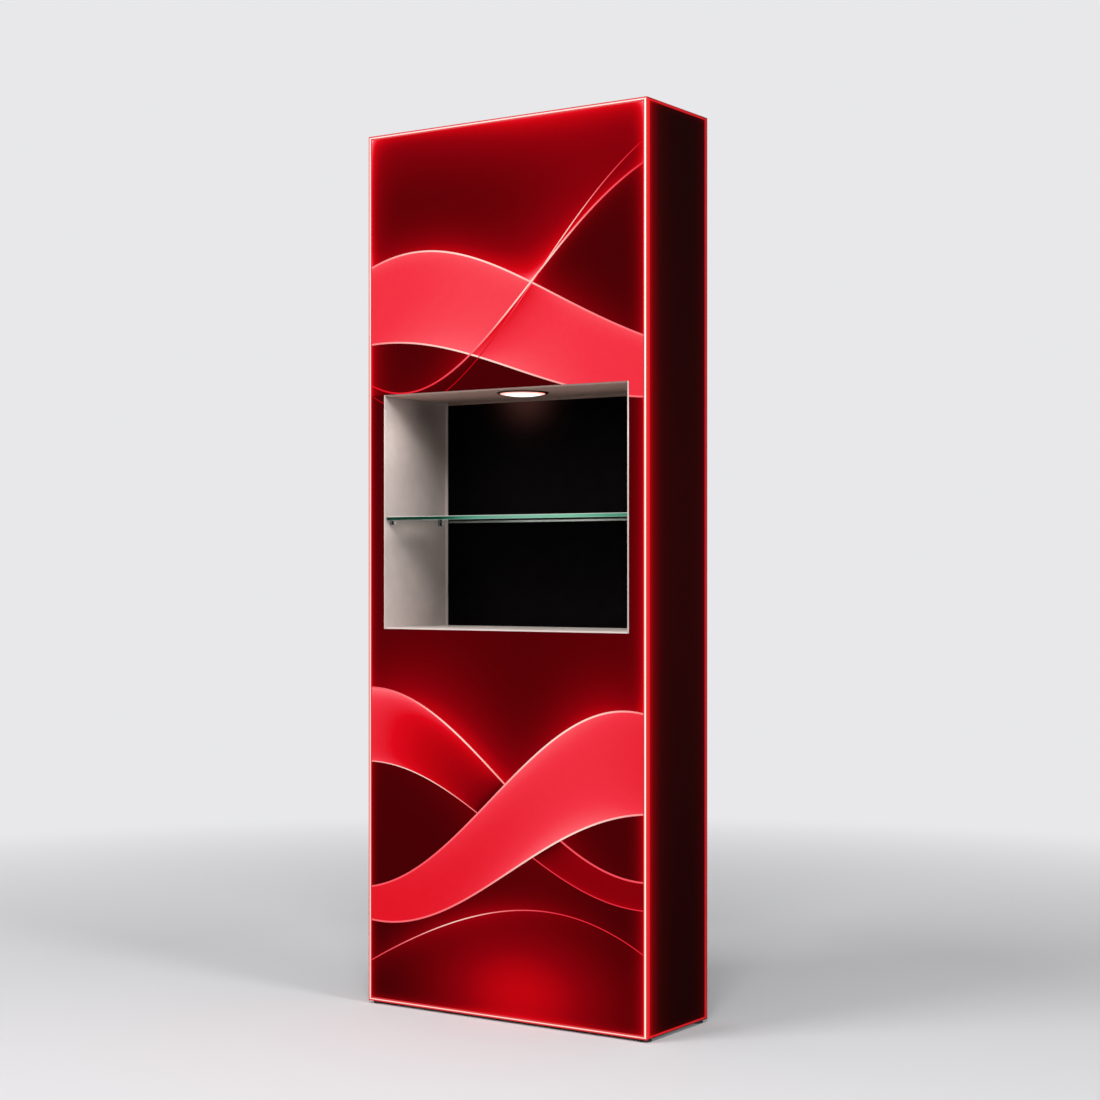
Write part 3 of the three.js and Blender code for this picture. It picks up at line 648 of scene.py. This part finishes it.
def edge_distance(x, z):
    """How far a place on the cloth is from its nearest edge."""
    outer = min(x - SHEET_LOW.x, SHEET_HIGH.x - x, z - SHEET_LOW.z, SHEET_HIGH.z - z)
    inner = max(CUT_LOW.x - x, x - CUT_HIGH.x, CUT_LOW.z - z, z - CUT_HIGH.z)
    return max(min(outer, inner), 0.0)


def roll_depth(distance):
    """How far the cloth's face has turned back at a distance from its edge."""
    short = max(ROLL - distance, 0.0)
    return ROLL - math.sqrt(ROLL * ROLL - short * short)


def make_sheet():
    """The cloth as one solid, its face rounded over at the outer edge and round the opening."""
    xs, zs = sheet_places(ACROSS), sheet_places(UP)
    mesh = bmesh.new()
    front, back = {}, {}
    for i, x in enumerate(xs):
        for j, z in enumerate(zs):
            if in_cut(x, z):
                continue
            front[i, j] = mesh.verts.new((x, SHEET_FRONT + roll_depth(edge_distance(x, z)), z))
            back[front[i, j]] = mesh.verts.new((x, SHEET_FRONT + SHEET_THICKNESS, z))
    for i in range(len(xs) - 1):
        for j in range(len(zs) - 1):
            if in_cut((xs[i] + xs[i + 1]) / 2, (zs[j] + zs[j + 1]) / 2):
                continue
            corners = [front[i, j], front[i + 1, j], front[i + 1, j + 1], front[i, j + 1]]
            mesh.faces.new(corners)
            mesh.faces.new([back[corner] for corner in reversed(corners)])
    rim = [edge.verts[:] for edge in mesh.edges if edge.is_boundary and edge.verts[0] in back]
    for a, b in rim:
        mesh.faces.new((a, b, back[b], back[a]))
    return make_object("front_print", mesh)


def make_bead():
    """The silicone bead round the sheet's edge, pressed into the frame's groove."""
    mesh = bmesh.new()
    near, far = SHEET_FRONT + SHEET_THICKNESS, SHEET_HIGH.y
    rings = []
    for inset, y in ((0, near), (0, far), (BEAD_WIDTH, far), (BEAD_WIDTH, near)):
        low = SHEET_LOW + Vector((inset, 0, inset))
        high = SHEET_HIGH - Vector((inset, 0, inset))
        corners = ((low.x, low.z), (high.x, low.z), (high.x, high.z), (low.x, high.z))
        rings.append([mesh.verts.new((x, y, z)) for x, z in corners])
    for ring, following in zip(rings, rings[1:] + rings[:1]):
        for i in range(len(ring)):
            mesh.faces.new((ring[i - 1], ring[i], following[i], following[i - 1]))
    return make_object("print_edge_bead", mesh)


# The printed bands and lines, each a thin layer on the cloth

STRIP_COLUMNS = 120
MAIN_LINE = 0.0046
FINE_LINE = 0.0026
LAYER_STEP = 0.00004
LINE_PEAK = 0.99


class Band(NamedTuple):
    """A printed band between two curves; a higher layer lies over a lower one."""

    lower: Curve
    upper: Curve
    layer: int
    brightness: object

    def edges(self):
        return self.lower.height, self.upper.height


class Line(NamedTuple):
    """A printed line, whitest at its peak across the sheet and redder away from there."""

    curve: Curve
    width: float
    layer: int
    peak: float
    spread: float
    dimmest: float

    def edge(self, side):
        """The height of the line's lower (-1) or upper (1) edge, its width set square to the curve."""

        def height(x):
            slant = math.hypot(1, self.curve.steepness(x))
            return self.curve.height(x) + side * self.width / 2 * slant

        return height

    def edges(self):
        return self.edge(-1), self.edge(1)

    def brightness(self, x, _):
        return self.dimmest + (LINE_PEAK - self.dimmest) * spot(x, self.peak, self.spread)


PRINT_LAYERS = {
    "print_band_falling": Band(FALLING_LOWER, FALLING_UPPER, 1, falling_brightness),
    "print_band_diving": Band(DIVING_LOWER, DIVING_UPPER, 1, diving_brightness),
    "print_band_climbing": Band(CLIMBING_LOWER, CLIMBING_UPPER, 3, climbing_brightness),
    "print_line_falling_upper": Line(FALLING_UPPER, MAIN_LINE, 2, -0.1, 0.4, 0.84),
    "print_line_falling_lower": Line(FALLING_LOWER, MAIN_LINE, 2, -0.1, 0.4, 0.84),
    "print_line_counter": Line(COUNTER, MAIN_LINE, 3, 0.1, 0.3, 0.62),
    "print_line_counter_echo": Line(COUNTER_ECHO, FINE_LINE, 3, 0.2, 0.2, 0.5),
    "print_line_diving_upper": Line(DIVING_UPPER, MAIN_LINE, 2, -0.14, 0.22, 0.8),
    "print_line_diving_lower": Line(DIVING_LOWER, FINE_LINE, 2, -0.3, 0.3, 0.72),
    "print_line_climbing_upper": Line(CLIMBING_UPPER, MAIN_LINE, 4, 0.2, 0.3, 0.82),
    "print_line_climbing_lower": Line(CLIMBING_LOWER, MAIN_LINE, 4, 0.2, 0.3, 0.85),
    "print_line_ground": Line(GROUND_LINE, FINE_LINE, 2, -0.15, 0.25, 0.68),
}


def make_print_layer(name, printed):
    strip = strip_between(*printed.edges(), STRIP_COLUMNS)
    piece = slab(name, strip, SHEET_FRONT - printed.layer * LAYER_STEP, SHEET_FRONT)
    return ride(piece, "case", print_material(name, printed.brightness))


def make_print():
    ground = print_material("print_ground", ground_brightness)
    sheet = ride(make_sheet(), "case", ground)
    silicone = finish("silicone_bead", srgb(60, 8, 10), srgb(80, 12, 14), roughness=0.5, scale=40.0)
    bead = ride(make_bead(), "case", silicone)
    layers = [make_print_layer(name, printed) for name, printed in PRINT_LAYERS.items()]
    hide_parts("front_graphic")


# The pale trim under the shelf's rear edge, with painted light along its length

TRIM_SIDE_CLEAR = 0.0155
TRIM_DEPTH = 0.006
TRIM_HEIGHT = 0.0024
TRIM_GAP = 0.0002
TRIM_CHAMFER = 0.0006
TRIM_GRAIN = 0.03
TRIM_GRAIN_SCALE, TRIM_GRAIN_STRETCH = 60.0, (0.05, 1, 1)
# Painted light along the trim, from its left end to its right.
TRIM_HIGHLIGHT_STOPS = [
    (0.0, srgb(88, 90, 88)),
    (0.11, srgb(135, 138, 134)),
    (0.24, srgb(160, 164, 160)),
    (0.38, srgb(225, 230, 225)),
    (0.63, srgb(232, 236, 230)),
    (0.74, srgb(178, 180, 172)),
    (1.0, srgb(150, 152, 146)),
]


def trim_finish():
    """Pale metal with painted light along it: dull at its left end and brightest in the middle."""
    material, tree, shader, (x, _, _) = new_material("trim_painted_highlight")
    along = share_along(x, SHELF_LOW.x, SHELF_HIGH.x)
    grain = noise(tree, TRIM_GRAIN_SCALE, stretch=TRIM_GRAIN_STRETCH)
    feed(tree, ramp(tree, grained(along, grain, TRIM_GRAIN), TRIM_HIGHLIGHT_STOPS), shader.inputs["Base Color"])
    settle(shader, Roughness=0.4)
    return material


def make_trim():
    mesh = bmesh.new()
    low_y, high_y = SHELF_HIGH.y - TRIM_DEPTH, SHELF_HIGH.y
    high_z = SHELF_LOW.z - TRIM_GAP
    low_z = high_z - TRIM_HEIGHT
    half = SHELF_HIGH.x - TRIM_SIDE_CLEAR
    section = [
        (low_y, high_z),
        (low_y, low_z + TRIM_CHAMFER),
        (low_y + TRIM_CHAMFER, low_z),
        (high_y - TRIM_CHAMFER, low_z),
        (high_y, low_z + TRIM_CHAMFER),
        (high_y, high_z),
    ]
    left, right = ([mesh.verts.new((x, y, z)) for y, z in section] for x in (-half, half))
    mesh.faces.new(left)
    mesh.faces.new(right)
    for i in range(len(section)):
        mesh.faces.new((left[i - 1], left[i], right[i], right[i - 1]))
    ride(make_object("shelf_rear_trim", mesh), "shelf", trim_finish())


# Light strips

STRIP_DRIFT_SCALE = 3.0


class FrontLight(NamedTuple):
    """The colour of a front strip's core, and the share of half its width that the core spreads over."""

    core: tuple
    core_share: float


FRONT_LIGHTS = {
    "front_light_top": FrontLight(srgb(255, 210, 202), 0.5),
    "front_light_bottom": FrontLight(srgb(255, 214, 206), 0.5),
    "front_light_left": FrontLight(srgb(255, 236, 224), 0.62),
    "front_light_right": FrontLight(srgb(255, 244, 228), 0.85),
}
FRONT_LIGHT_SIDES = srgb(190, 32, 34)
FRONT_LIGHT_DRIFT = 0.12
FRONT_LIGHT_CORE_STOP = 0.9

RING_STOPS = [(0.0, srgb(237, 34, 38)), (0.12, srgb(206, 29, 36)), (1.0, srgb(192, 28, 32))]
RING_DRIFT = 0.06


def front_light_finish(name, light):
    """A milky diffuser that glows, redder along its two long edges."""
    material, tree, shader, (x, _, z) = new_material(name + "_finish")
    low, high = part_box(name)
    size, middle = high - low, (low + high) / 2
    lengthways = size.x > size.z
    across = (z - middle.z) / (size.z / 2) if lengthways else (x - middle.x) / (size.x / 2)
    drift = noise(tree, STRIP_DRIFT_SCALE, SMOOTH_DETAIL)
    level = grained(spot(across, 0.0, light.core_share), drift, FRONT_LIGHT_DRIFT)
    tone = ramp(tree, level, [(0.0, FRONT_LIGHT_SIDES), (FRONT_LIGHT_CORE_STOP, light.core)])
    shine(tree, shader, tone, strength=0.95, base_share=0.25)
    settle(shader, Roughness=0.35)
    return material


def ring_finish():
    """The red side ring, brighter where it runs beside the front strips."""
    material, tree, shader, (_, y, _) = new_material("red_strip")
    back = share_along(y, STAND_LOW.y, STAND_HIGH.y)
    drift = noise(tree, STRIP_DRIFT_SCALE, SMOOTH_DETAIL)
    tone = ramp(tree, grained(back, drift, RING_DRIFT), RING_STOPS)
    shine(tree, shader, tone, strength=0.9, base_share=0.2)
    settle(shader, Roughness=0.5, IOR=MATT_IOR)
    return material


# The frame and its side panels

FRAME_DARK, FRAME_LIGHT = srgb(20, 17, 18), srgb(30, 26, 27)
FRAME_ROUGHNESS = 0.5
FRAME_GRAIN_SCALE, FRAME_GRAIN_STRETCH = 90.0, (1, 1, 0.02)
FRAME_BUMP = 0.00004
# Painted glow: the light strips' red spill painted on the extrusion's lips and outer faces, as emission.
FRONT_LIP = Rim(reach=0.003, strength=1.0)
OUTER_FACE = Rim(reach=0.001, strength=1.0)
OUTER_FRONT_LIP = Rim(reach=0.01, strength=1.0)
OUTER_REAR_LIP = Rim(reach=0.003, strength=0.5)
OUTER_TOP_LIP = Rim(reach=0.003, strength=0.8)
OUTER_BOTTOM_LIP = Rim(reach=0.003, strength=0.5)
LIP_GLOW_STOPS = [(0.0, BLACK), (0.3, srgb(110, 4, 10)), (1.0, srgb(217, 35, 35))]

# Painted glow on the dark side panels, as emission: the strips' spill round the edges and a faint glow
# across the middle height.
SIDE_STOPS = [
    (0.0, srgb(20, 0, 0)),
    (0.15, srgb(52, 0, 1)),
    (0.41, srgb(110, 0, 4)),
    (0.77, srgb(190, 8, 14)),
    (1.0, srgb(240, 34, 36)),
]
SIDE_BASE = 0.01
SIDE_MIDDLE_GLOW, SIDE_MIDDLE_GLOW_SPREAD = 0.055, 0.8
SIDE_FRONT_RIM = Rim(reach=0.031, strength=0.6)
SIDE_REAR_RIM = Rim(reach=0.02, strength=0.2)
SIDE_END_RIM = Rim(reach=0.006, strength=0.15)
SIDE_GRAIN_SCALE = 30.0
SIDE_GRAIN = 0.012
SIDE_ROUGHNESS, SIDE_ROUGHNESS_DRIFT = 0.6, 0.1


def frame_finish():
    """Black extrusion with painted red glow on its lips beside the light strips, as emission."""
    material, tree, shader, (x, y, z) = new_material("black_extrusion")
    grain = noise(tree, FRAME_GRAIN_SCALE, stretch=FRAME_GRAIN_STRETCH)
    tone = between_tones(tree, grain, FRAME_DARK, FRAME_LIGHT)
    feed(tree, tone, shader.inputs["Base Color"])
    feed(tree, grained(FRAME_ROUGHNESS, grain, ROUGHNESS_DRIFT), shader.inputs["Roughness"])
    sideways = size_of(facing(tree)[0]) * OUTER_FACE.beside(size_of(x) - STAND_HIGH.x)
    spill = (
        OUTER_FRONT_LIP.beside(y - STAND_LOW.y)
        + OUTER_REAR_LIP.beside(y - STAND_HIGH.y)
        + OUTER_TOP_LIP.beside(z - STAND_HIGH.z)
        + OUTER_BOTTOM_LIP.beside(z - SHEET_LOW.z)
    )
    level = FRONT_LIP.beside(y - STAND_LOW.y) * (1.0 - sideways) + spill * sideways
    feed(tree, ramp(tree, level, LIP_GLOW_STOPS), shader.inputs["Emission Color"])
    settle(shader, Emission_Strength=1.0, IOR=1.3)
    add_bump(tree, shader, grain, FRAME_BUMP)
    return material


def side_finish():
    """Satin dark panel with painted glow: the spill of the light strips round its edge, and a faint glow
    across its middle height.
    """
    material, tree, shader, (_, y, z) = new_material("dark_side")
    level = (
        SIDE_BASE
        + SIDE_MIDDLE_GLOW * spot(z, STAND_HIGH.z / 2, SIDE_MIDDLE_GLOW_SPREAD)
        + SIDE_FRONT_RIM.beside(y - PANEL_LOW.y)
        + SIDE_REAR_RIM.beside(y - PANEL_HIGH.y)
        + SIDE_END_RIM.beside(z - PANEL_HIGH.z)
        + SIDE_END_RIM.beside(z - PANEL_LOW.z)
    )
    grain = noise(tree, SIDE_GRAIN_SCALE, STREAK_DETAIL)
    tone = ramp(tree, grained(level, grain, SIDE_GRAIN), SIDE_STOPS)
    shine(tree, shader, tone, strength=0.85, base_share=0.1)
    feed(tree, grained(SIDE_ROUGHNESS, grain, SIDE_ROUGHNESS_DRIFT), shader.inputs["Roughness"])
    settle(shader, IOR=MATT_IOR)
    return material


# The showcase

SHOWCASE_DARK, SHOWCASE_LIGHT = srgb(214, 198, 192), srgb(222, 206, 200)
SHOWCASE_GRAIN_SCALE = 25.0
SHOWCASE_BUMP = 0.00003
SHOWCASE_ROUGHNESS = 0.5

# Painted shade on the ceiling: lighter at the front, darker towards the rear, darkest on the front edge.
CEILING_SHADE_STOPS = [
    (0.0, srgb(202, 166, 153)),
    (0.45, srgb(196, 158, 145)),
    (0.95, srgb(140, 115, 106)),
    (1.0, srgb(122, 96, 86)),
]
CEILING_DEPTH_SHARE = 0.95
CEILING_GRAIN = 0.04


class PaintedLightPatch(NamedTuple):
    """Painted light round a place behind the stand's front and under the showcase's top, or painted shade
    where the strength is negative.
    """

    strength: float
    behind: float
    behind_spread: float
    under: float
    under_spread: float

    def level(self, y, z):
        depth = spot(y, STAND_LOW.y + self.behind, self.behind_spread)
        return self.strength * depth * spot(z, NICHE_HIGH.z - self.under, self.under_spread)


# Painted light and painted shade on the side walls: the base colour is scaled by this share plus the
# places below, lighter where the lamp falls and darker in the ceiling edge's shadow high up towards the
# rear.
WALL_SHARE = 0.76
WALL_PAINTED_LIGHT = [
    PaintedLightPatch(strength=0.44, behind=0.015, behind_spread=0.11, under=0.127, under_spread=0.1),
    PaintedLightPatch(strength=-0.4, behind=0.175, behind_spread=0.075, under=0.042, under_spread=0.07),
    PaintedLightPatch(strength=0.16, behind=0.105, behind_spread=0.2, under=0.282, under_spread=0.06),
    PaintedLightPatch(strength=0.5, behind=0.115, behind_spread=0.1, under=0.37, under_spread=0.024),
    PaintedLightPatch(strength=0.16, behind=0.255, behind_spread=0.08, under=0.402, under_spread=0.16),
]

BACK_DARK, BACK_LIGHT = srgb(7, 5, 6), srgb(10, 8, 9)
BACK_GRAIN_SCALE = 30.0
# Painted glow: the downlight's warm light on the black back sheet, as emission round a place under the
# lamp.
BACK_LAMP_GLOW = srgb(56, 32, 27)
LAMP_GLOW_X, LAMP_GLOW_X_SPREAD = -0.11, 0.075
LAMP_GLOW_Z_SPREAD = 0.066


def wall_finish():
    """Smooth warm sheet whose base colour carries painted light and painted shade: lightest where the
    lamp falls at the upper front, darkest in the rear corner.
    """
    material, tree, shader, (_, y, z) = new_material("showcase_wall_sheet")
    grain = noise(tree, SHOWCASE_GRAIN_SCALE)
    tone = between_tones(tree, grain, SHOWCASE_DARK, SHOWCASE_LIGHT)
    share = lit(WALL_SHARE, WALL_PAINTED_LIGHT, y, z)
    feed(tree, scaled(tree, tone, share), shader.inputs["Base Color"])
    settle(shader, Roughness=SHOWCASE_ROUGHNESS)
    add_bump(tree, shader, grain, SHOWCASE_BUMP)
    return material


def ceiling_finish():
    """Warm sheet under the lamp, with painted shade that deepens towards the rear and painted shade on
    its front edge.
    """
    material, tree, shader, (_, y, _) = new_material("ceiling_sheet")
    _, ny, _ = facing(tree)
    front = calc("MAXIMUM", -ny, 0.0) * (1.0 - above(y))
    inwards = share_along(y, SHEET_LOW.y, NICHE_LOW.y)
    shade = calc("MAXIMUM", CEILING_DEPTH_SHARE * inwards, front)
    grain = noise(tree, SHOWCASE_GRAIN_SCALE)
    tone = ramp(tree, grained(shade, grain, CEILING_GRAIN), CEILING_SHADE_STOPS)
    feed(tree, tone, shader.inputs["Base Color"])
    settle(shader, Roughness=SHOWCASE_ROUGHNESS)
    return material


def back_finish():
    """Matt black with a faint painted glow of the lamp's light on it, under the lamp."""
    material, tree, shader, (x, _, z) = new_material("black_sheet")
    grain = noise(tree, BACK_GRAIN_SCALE)
    feed(tree, between_tones(tree, grain, BACK_DARK, BACK_LIGHT), shader.inputs["Base Color"])
    # Painted glow of the lamp's light on the black sheet, as emission.
    patch = spot(x, LAMP_GLOW_X, LAMP_GLOW_X_SPREAD) * spot(z, NICHE_HIGH.z, LAMP_GLOW_Z_SPREAD)
    warm = ramp(tree, patch, [(0.0, BLACK), (1.0, BACK_LAMP_GLOW)])
    feed(tree, warm, shader.inputs["Emission Color"])
    settle(shader, Emission_Strength=1.0, Roughness=0.7, IOR=MATT_IOR)
    return material


# The glass shelf, its studs and the lamp over it

# Painted light on the glass shelf, as emission: the green glow of its edges from left to right, and a
# pale highlight on its top arris.
GLASS_EDGE_GLOW_STOPS = [
    (0.0, srgb(9, 50, 36)),
    (0.24, srgb(9, 56, 40)),
    (0.29, srgb(33, 98, 76)),
    (0.37, srgb(84, 158, 132)),
    (0.46, srgb(116, 174, 152)),
    (0.62, srgb(132, 195, 168)),
    (0.78, srgb(130, 201, 171)),
    (0.93, srgb(84, 157, 128)),
    (1.0, srgb(66, 136, 108)),
]
GLASS_BODY_STOPS = [(0.0, srgb(8, 24, 18)), (0.9, srgb(225, 240, 234))]
GLASS_STREAKS = 0.12
GLASS_STREAK_SCALE, GLASS_STREAK_STRETCH = 9.0, (1, 1, 12)
GLASS_TRANSMISSION = 0.95
GLASS_SPECULAR = 0.5
ARRIS_HIGHLIGHT_TONE = srgb(213, 208, 202)
ARRIS_LIFT = 0.7
ARRIS_SPREAD = 0.15

# Painted highlight on the shelf studs: the inner end is pale and mostly not metal, so it shows bright
# where a glint would be.
STUD_HIGHLIGHT_STOPS = [(0.4, srgb(48, 46, 45)), (0.8, srgb(244, 244, 242))]
STUD_GRAIN, STUD_GRAIN_SCALE = 0.1, 200.0
STUD_HIGHLIGHT_METAL_DROP = 0.9
LENS_BODY = srgb(240, 236, 230)
LENS_STOPS = [(0.0, srgb(255, 255, 252)), (0.7, srgb(255, 240, 230)), (1.0, srgb(238, 120, 105))]


def glass_finish():
    """Clear glass with painted light: a green glow on its polished edge, paler towards the right, and a
    painted highlight on its top arris.
    """
    material, tree, shader, (x, _, _) = new_material("shelf_glass_finish")
    _, ny, nz = facing(tree)
    flat = size_of(nz)
    feed(tree, ramp(tree, flat, GLASS_BODY_STOPS), shader.inputs["Base Color"])
    streaks = noise(tree, GLASS_STREAK_SCALE, STREAK_DETAIL, GLASS_STREAK_STRETCH)
    along = share_along(x, SHELF_LOW.x, SHELF_HIGH.x)
    edge = ramp(tree, grained(along, streaks, GLASS_STREAKS), GLASS_EDGE_GLOW_STOPS)
    # Painted highlight on the top arris, and painted green glow on the upright edges.
    arris = spot(nz, ARRIS_LIFT, ARRIS_SPREAD)
    upright = size_of(ny) * (1.0 - arris)
    pale = ramp(tree, arris, [(0.0, BLACK), (1.0, ARRIS_HIGHLIGHT_TONE)])
    feed(tree, summed(tree, scaled(tree, edge, upright), pale), shader.inputs["Emission Color"])
    feed(tree, GLASS_TRANSMISSION * flat, shader.inputs["Transmission Weight"])
    feed(tree, GLASS_SPECULAR * flat, shader.inputs["Specular IOR Level"])
    settle(shader, Emission_Strength=0.9, Roughness=0.02, IOR=1.5)
    return material


def stud_finish():
    """Chrome, dark round the barrel, with a painted highlight: the end that faces into the showcase is
    pale and less metallic, so it shows bright.
    """
    material, tree, shader, _ = new_material("stud_chrome")
    end = size_of(facing(tree)[0])
    grain = noise(tree, STUD_GRAIN_SCALE, SOFT_DETAIL)
    tone = ramp(tree, grained(end, grain, STUD_GRAIN), STUD_HIGHLIGHT_STOPS)
    feed(tree, tone, shader.inputs["Base Color"])
    feed(tree, 1.0 - STUD_HIGHLIGHT_METAL_DROP * end, shader.inputs["Metallic"])
    settle(shader, Roughness=0.16)
    return material


def lens_finish():
    """Opal lens, whitest in the middle."""
    material, tree, shader, (x, y, _) = new_material("opal_lens_finish")
    middle = (LENS_LOW + LENS_HIGH) / 2
    radius = (LENS_HIGH.x - LENS_LOW.x) / 2
    dx, dy = x - middle.x, y - middle.y
    out = calc("SQRT", dx * dx + dy * dy) / radius
    feed(tree, ramp(tree, out, LENS_STOPS), shader.inputs["Emission Color"])
    settle(shader, Emission_Strength=1.6, Base_Color=LENS_BODY, Roughness=0.4)
    return material


# Plain finishes of the other pieces


class Plain(NamedTuple):
    """The pieces, by how their names start, that take a plain finish, and its settings."""

    starts: tuple
    settings: dict


PLAIN_FINISHES = {
    "showcase_sheet": Plain(
        ("showcase_floor",),
        dict(
            dark=SHOWCASE_DARK,
            light=SHOWCASE_LIGHT,
            roughness=SHOWCASE_ROUGHNESS,
            scale=SHOWCASE_GRAIN_SCALE,
            bump=SHOWCASE_BUMP,
        ),
    ),
    "satin_black_sheet": Plain(
        ("rear_panel", "top_panel", "base_panel"),
        dict(dark=srgb(26, 24, 25), light=srgb(34, 31, 32), roughness=0.5, scale=18.0, bump=0.00003),
    ),
    "bezel_black": Plain(
        ("downlight_bezel",),
        dict(dark=srgb(16, 11, 11), light=srgb(30, 22, 22), roughness=0.42, metallic=0.2, scale=120.0),
    ),
    "cast_alloy": Plain(
        ("downlight_heat_sink", "corner_connector_"),
        dict(
            dark=srgb(116, 118, 122),
            light=srgb(150, 152, 156),
            roughness=0.5,
            metallic=0.9,
            scale=140.0,
            bump=0.0001,
        ),
    ),
    "spring_strip": Plain(
        ("downlight_clip_",),
        dict(
            dark=srgb(150, 152, 156),
            light=srgb(190, 192, 196),
            roughness=0.3,
            metallic=1.0,
            scale=160.0,
            stretch=(1, 0.05, 1),
        ),
    ),
    "led_board_white": Plain(
        ("led_bar_",),
        dict(dark=srgb(214, 216, 218), light=srgb(228, 230, 232), roughness=0.4, scale=80.0),
    ),
    "driver_case_finish": Plain(
        ("led_driver",),
        dict(
            dark=srgb(176, 178, 182),
            light=srgb(198, 200, 204),
            roughness=0.36,
            metallic=0.9,
            scale=120.0,
        ),
    ),
    "black_moulding_finish": Plain(
        ("power_inlet", "rocker_switch"),
        dict(dark=srgb(12, 12, 13), light=srgb(20, 20, 22), roughness=0.4, scale=300.0, bump=0.00005),
    ),
    "foot_finish": Plain(
        ("levelling_foot_",),
        dict(dark=srgb(14, 14, 15), light=srgb(26, 26, 27), roughness=0.6, scale=200.0, bump=0.00006),
    ),
}


def paint_frame():
    paint(frame_finish(), *named("front_frame_", "rear_frame_", "depth_rail_", "support_rail_"))
    for name, light in FRONT_LIGHTS.items():
        paint(front_light_finish(name, light), name)
    paint(ring_finish(), *named("side_light_"))
    paint(side_finish(), "left_side_panel", "right_side_panel")
    paint(wall_finish(), "showcase_left_wall", "showcase_right_wall")
    paint(ceiling_finish(), "showcase_ceiling")
    paint(back_finish(), "showcase_back")
    paint(glass_finish(), "glass_shelf")
    paint(stud_finish(), *named("shelf_stud_"))
    paint(lens_finish(), "downlight_lens")
    for name, plain in PLAIN_FINISHES.items():
        paint(finish(name, **plain.settings), *named(*plain.starts))


# Studio

PALE = srgb(232, 232, 234)
FLOOR_TONE = srgb(226, 226, 228)
FLOOR_RADIUS = 40.0
FLOOR_SEGMENTS = 96
FADE_FROM, FADE_TO = 1.6, 4.5
FADE_SOFTNESS = 0.1
AMBIENT = 0.1


class Lamp(NamedTuple):
    """A square lamp that faces a target; its power is in watts."""

    place: tuple
    target: tuple
    size: float
    power: float


LAMPS = {
    "key": Lamp((-3.9, -7.0, 4.6), (0, 0, 1.2), size=4.2, power=430),
    "cross": Lamp((2.4, -3.9, 4.6), (0, 0, 1.3), size=1.6, power=110),
    "fill": Lamp((9.9, -1.5, 2.95), (0, 0, 1.3), size=2.7, power=585),
    "overhead": Lamp((0, -1.0, 6.0), (0, -1.0, 0), size=4.0, power=110),
}


def seen_rays(tree):
    """1 for what the camera sees, directly or in a reflection or through glass, and 0 for plain light."""
    path = tree.nodes.new("ShaderNodeLightPath")
    camera, glossy, through = (
        Field(tree, path.outputs[name])
        for name in ("Is Camera Ray", "Is Glossy Ray", "Is Transmission Ray")
    )
    return calc("MAXIMUM", camera, calc("MAXIMUM", glossy, through))


def mixed(tree, share, first, second):
    """One shader that passes into another as the share goes from 0 to 1."""
    node = tree.nodes.new("ShaderNodeMixShader")
    feed(tree, share, node.inputs[0])
    feed(tree, first.outputs[0], node.inputs[1])
    feed(tree, second.outputs[0], node.inputs[2])
    return node.outputs[0]


def make_floor():
    """Pale floor that fades to the background's own colour away from the stand."""
    mesh = bmesh.new()
    bmesh.ops.create_circle(mesh, cap_ends=True, radius=FLOOR_RADIUS, segments=FLOOR_SEGMENTS)
    floor = make_object("studio_floor", mesh)
    material, tree, shader, (x, y, _) = new_material("studio_floor_finish")
    settle(shader, Base_Color=FLOOR_TONE, Roughness=0.8, Specular_IOR_Level=0.05)
    away = calc("SQRT", x * x + y * y)
    fade = calc("SMOOTH_MIN", share_along(away, FADE_FROM, FADE_TO), 1.0, FADE_SOFTNESS)
    sky = tree.nodes.new("ShaderNodeEmission")
    settle(sky, Color=PALE)
    feed(tree, AMBIENT + (1 - AMBIENT) * seen_rays(tree), sky.inputs["Strength"])
    surface = mixed(tree, calc("MAXIMUM", fade, 0.0), shader, sky)
    feed(tree, surface, tree.nodes["Material Output"].inputs["Surface"])
    floor.data.materials.append(material)


def make_world():
    """Pale where it is seen, directly or in a reflection, and a plain level as a light."""
    world = bpy.data.worlds.new("studio_world")
    bpy.context.scene.world = world
    world.use_nodes = True
    tree = world.node_tree
    light = tree.nodes["Background"]
    settle(light, Color=WHITE, Strength=AMBIENT)
    seen = tree.nodes.new("ShaderNodeBackground")
    settle(seen, Color=PALE)
    surface = mixed(tree, seen_rays(tree), light, seen)
    feed(tree, surface, tree.nodes["World Output"].inputs["Surface"])


def make_lamp(name, lamp):
    data = bpy.data.lights.new(name, "AREA")
    data.size = lamp.size
    data.energy = lamp.power
    light = bpy.data.objects.new(name, data)
    light.location = lamp.place
    aim = Vector(lamp.target) - Vector(lamp.place)
    light.rotation_euler = aim.to_track_quat("-Z", "Y").to_euler()
    light.visible_camera = False
    bpy.context.scene.collection.objects.link(light)


def make_studio():
    make_floor()
    make_world()
    for name, lamp in LAMPS.items():
        make_lamp(name, lamp)
    bpy.context.scene.view_settings.view_transform = "Standard"


make_camera()
make_print()
make_trim()
paint_frame()
make_studio()
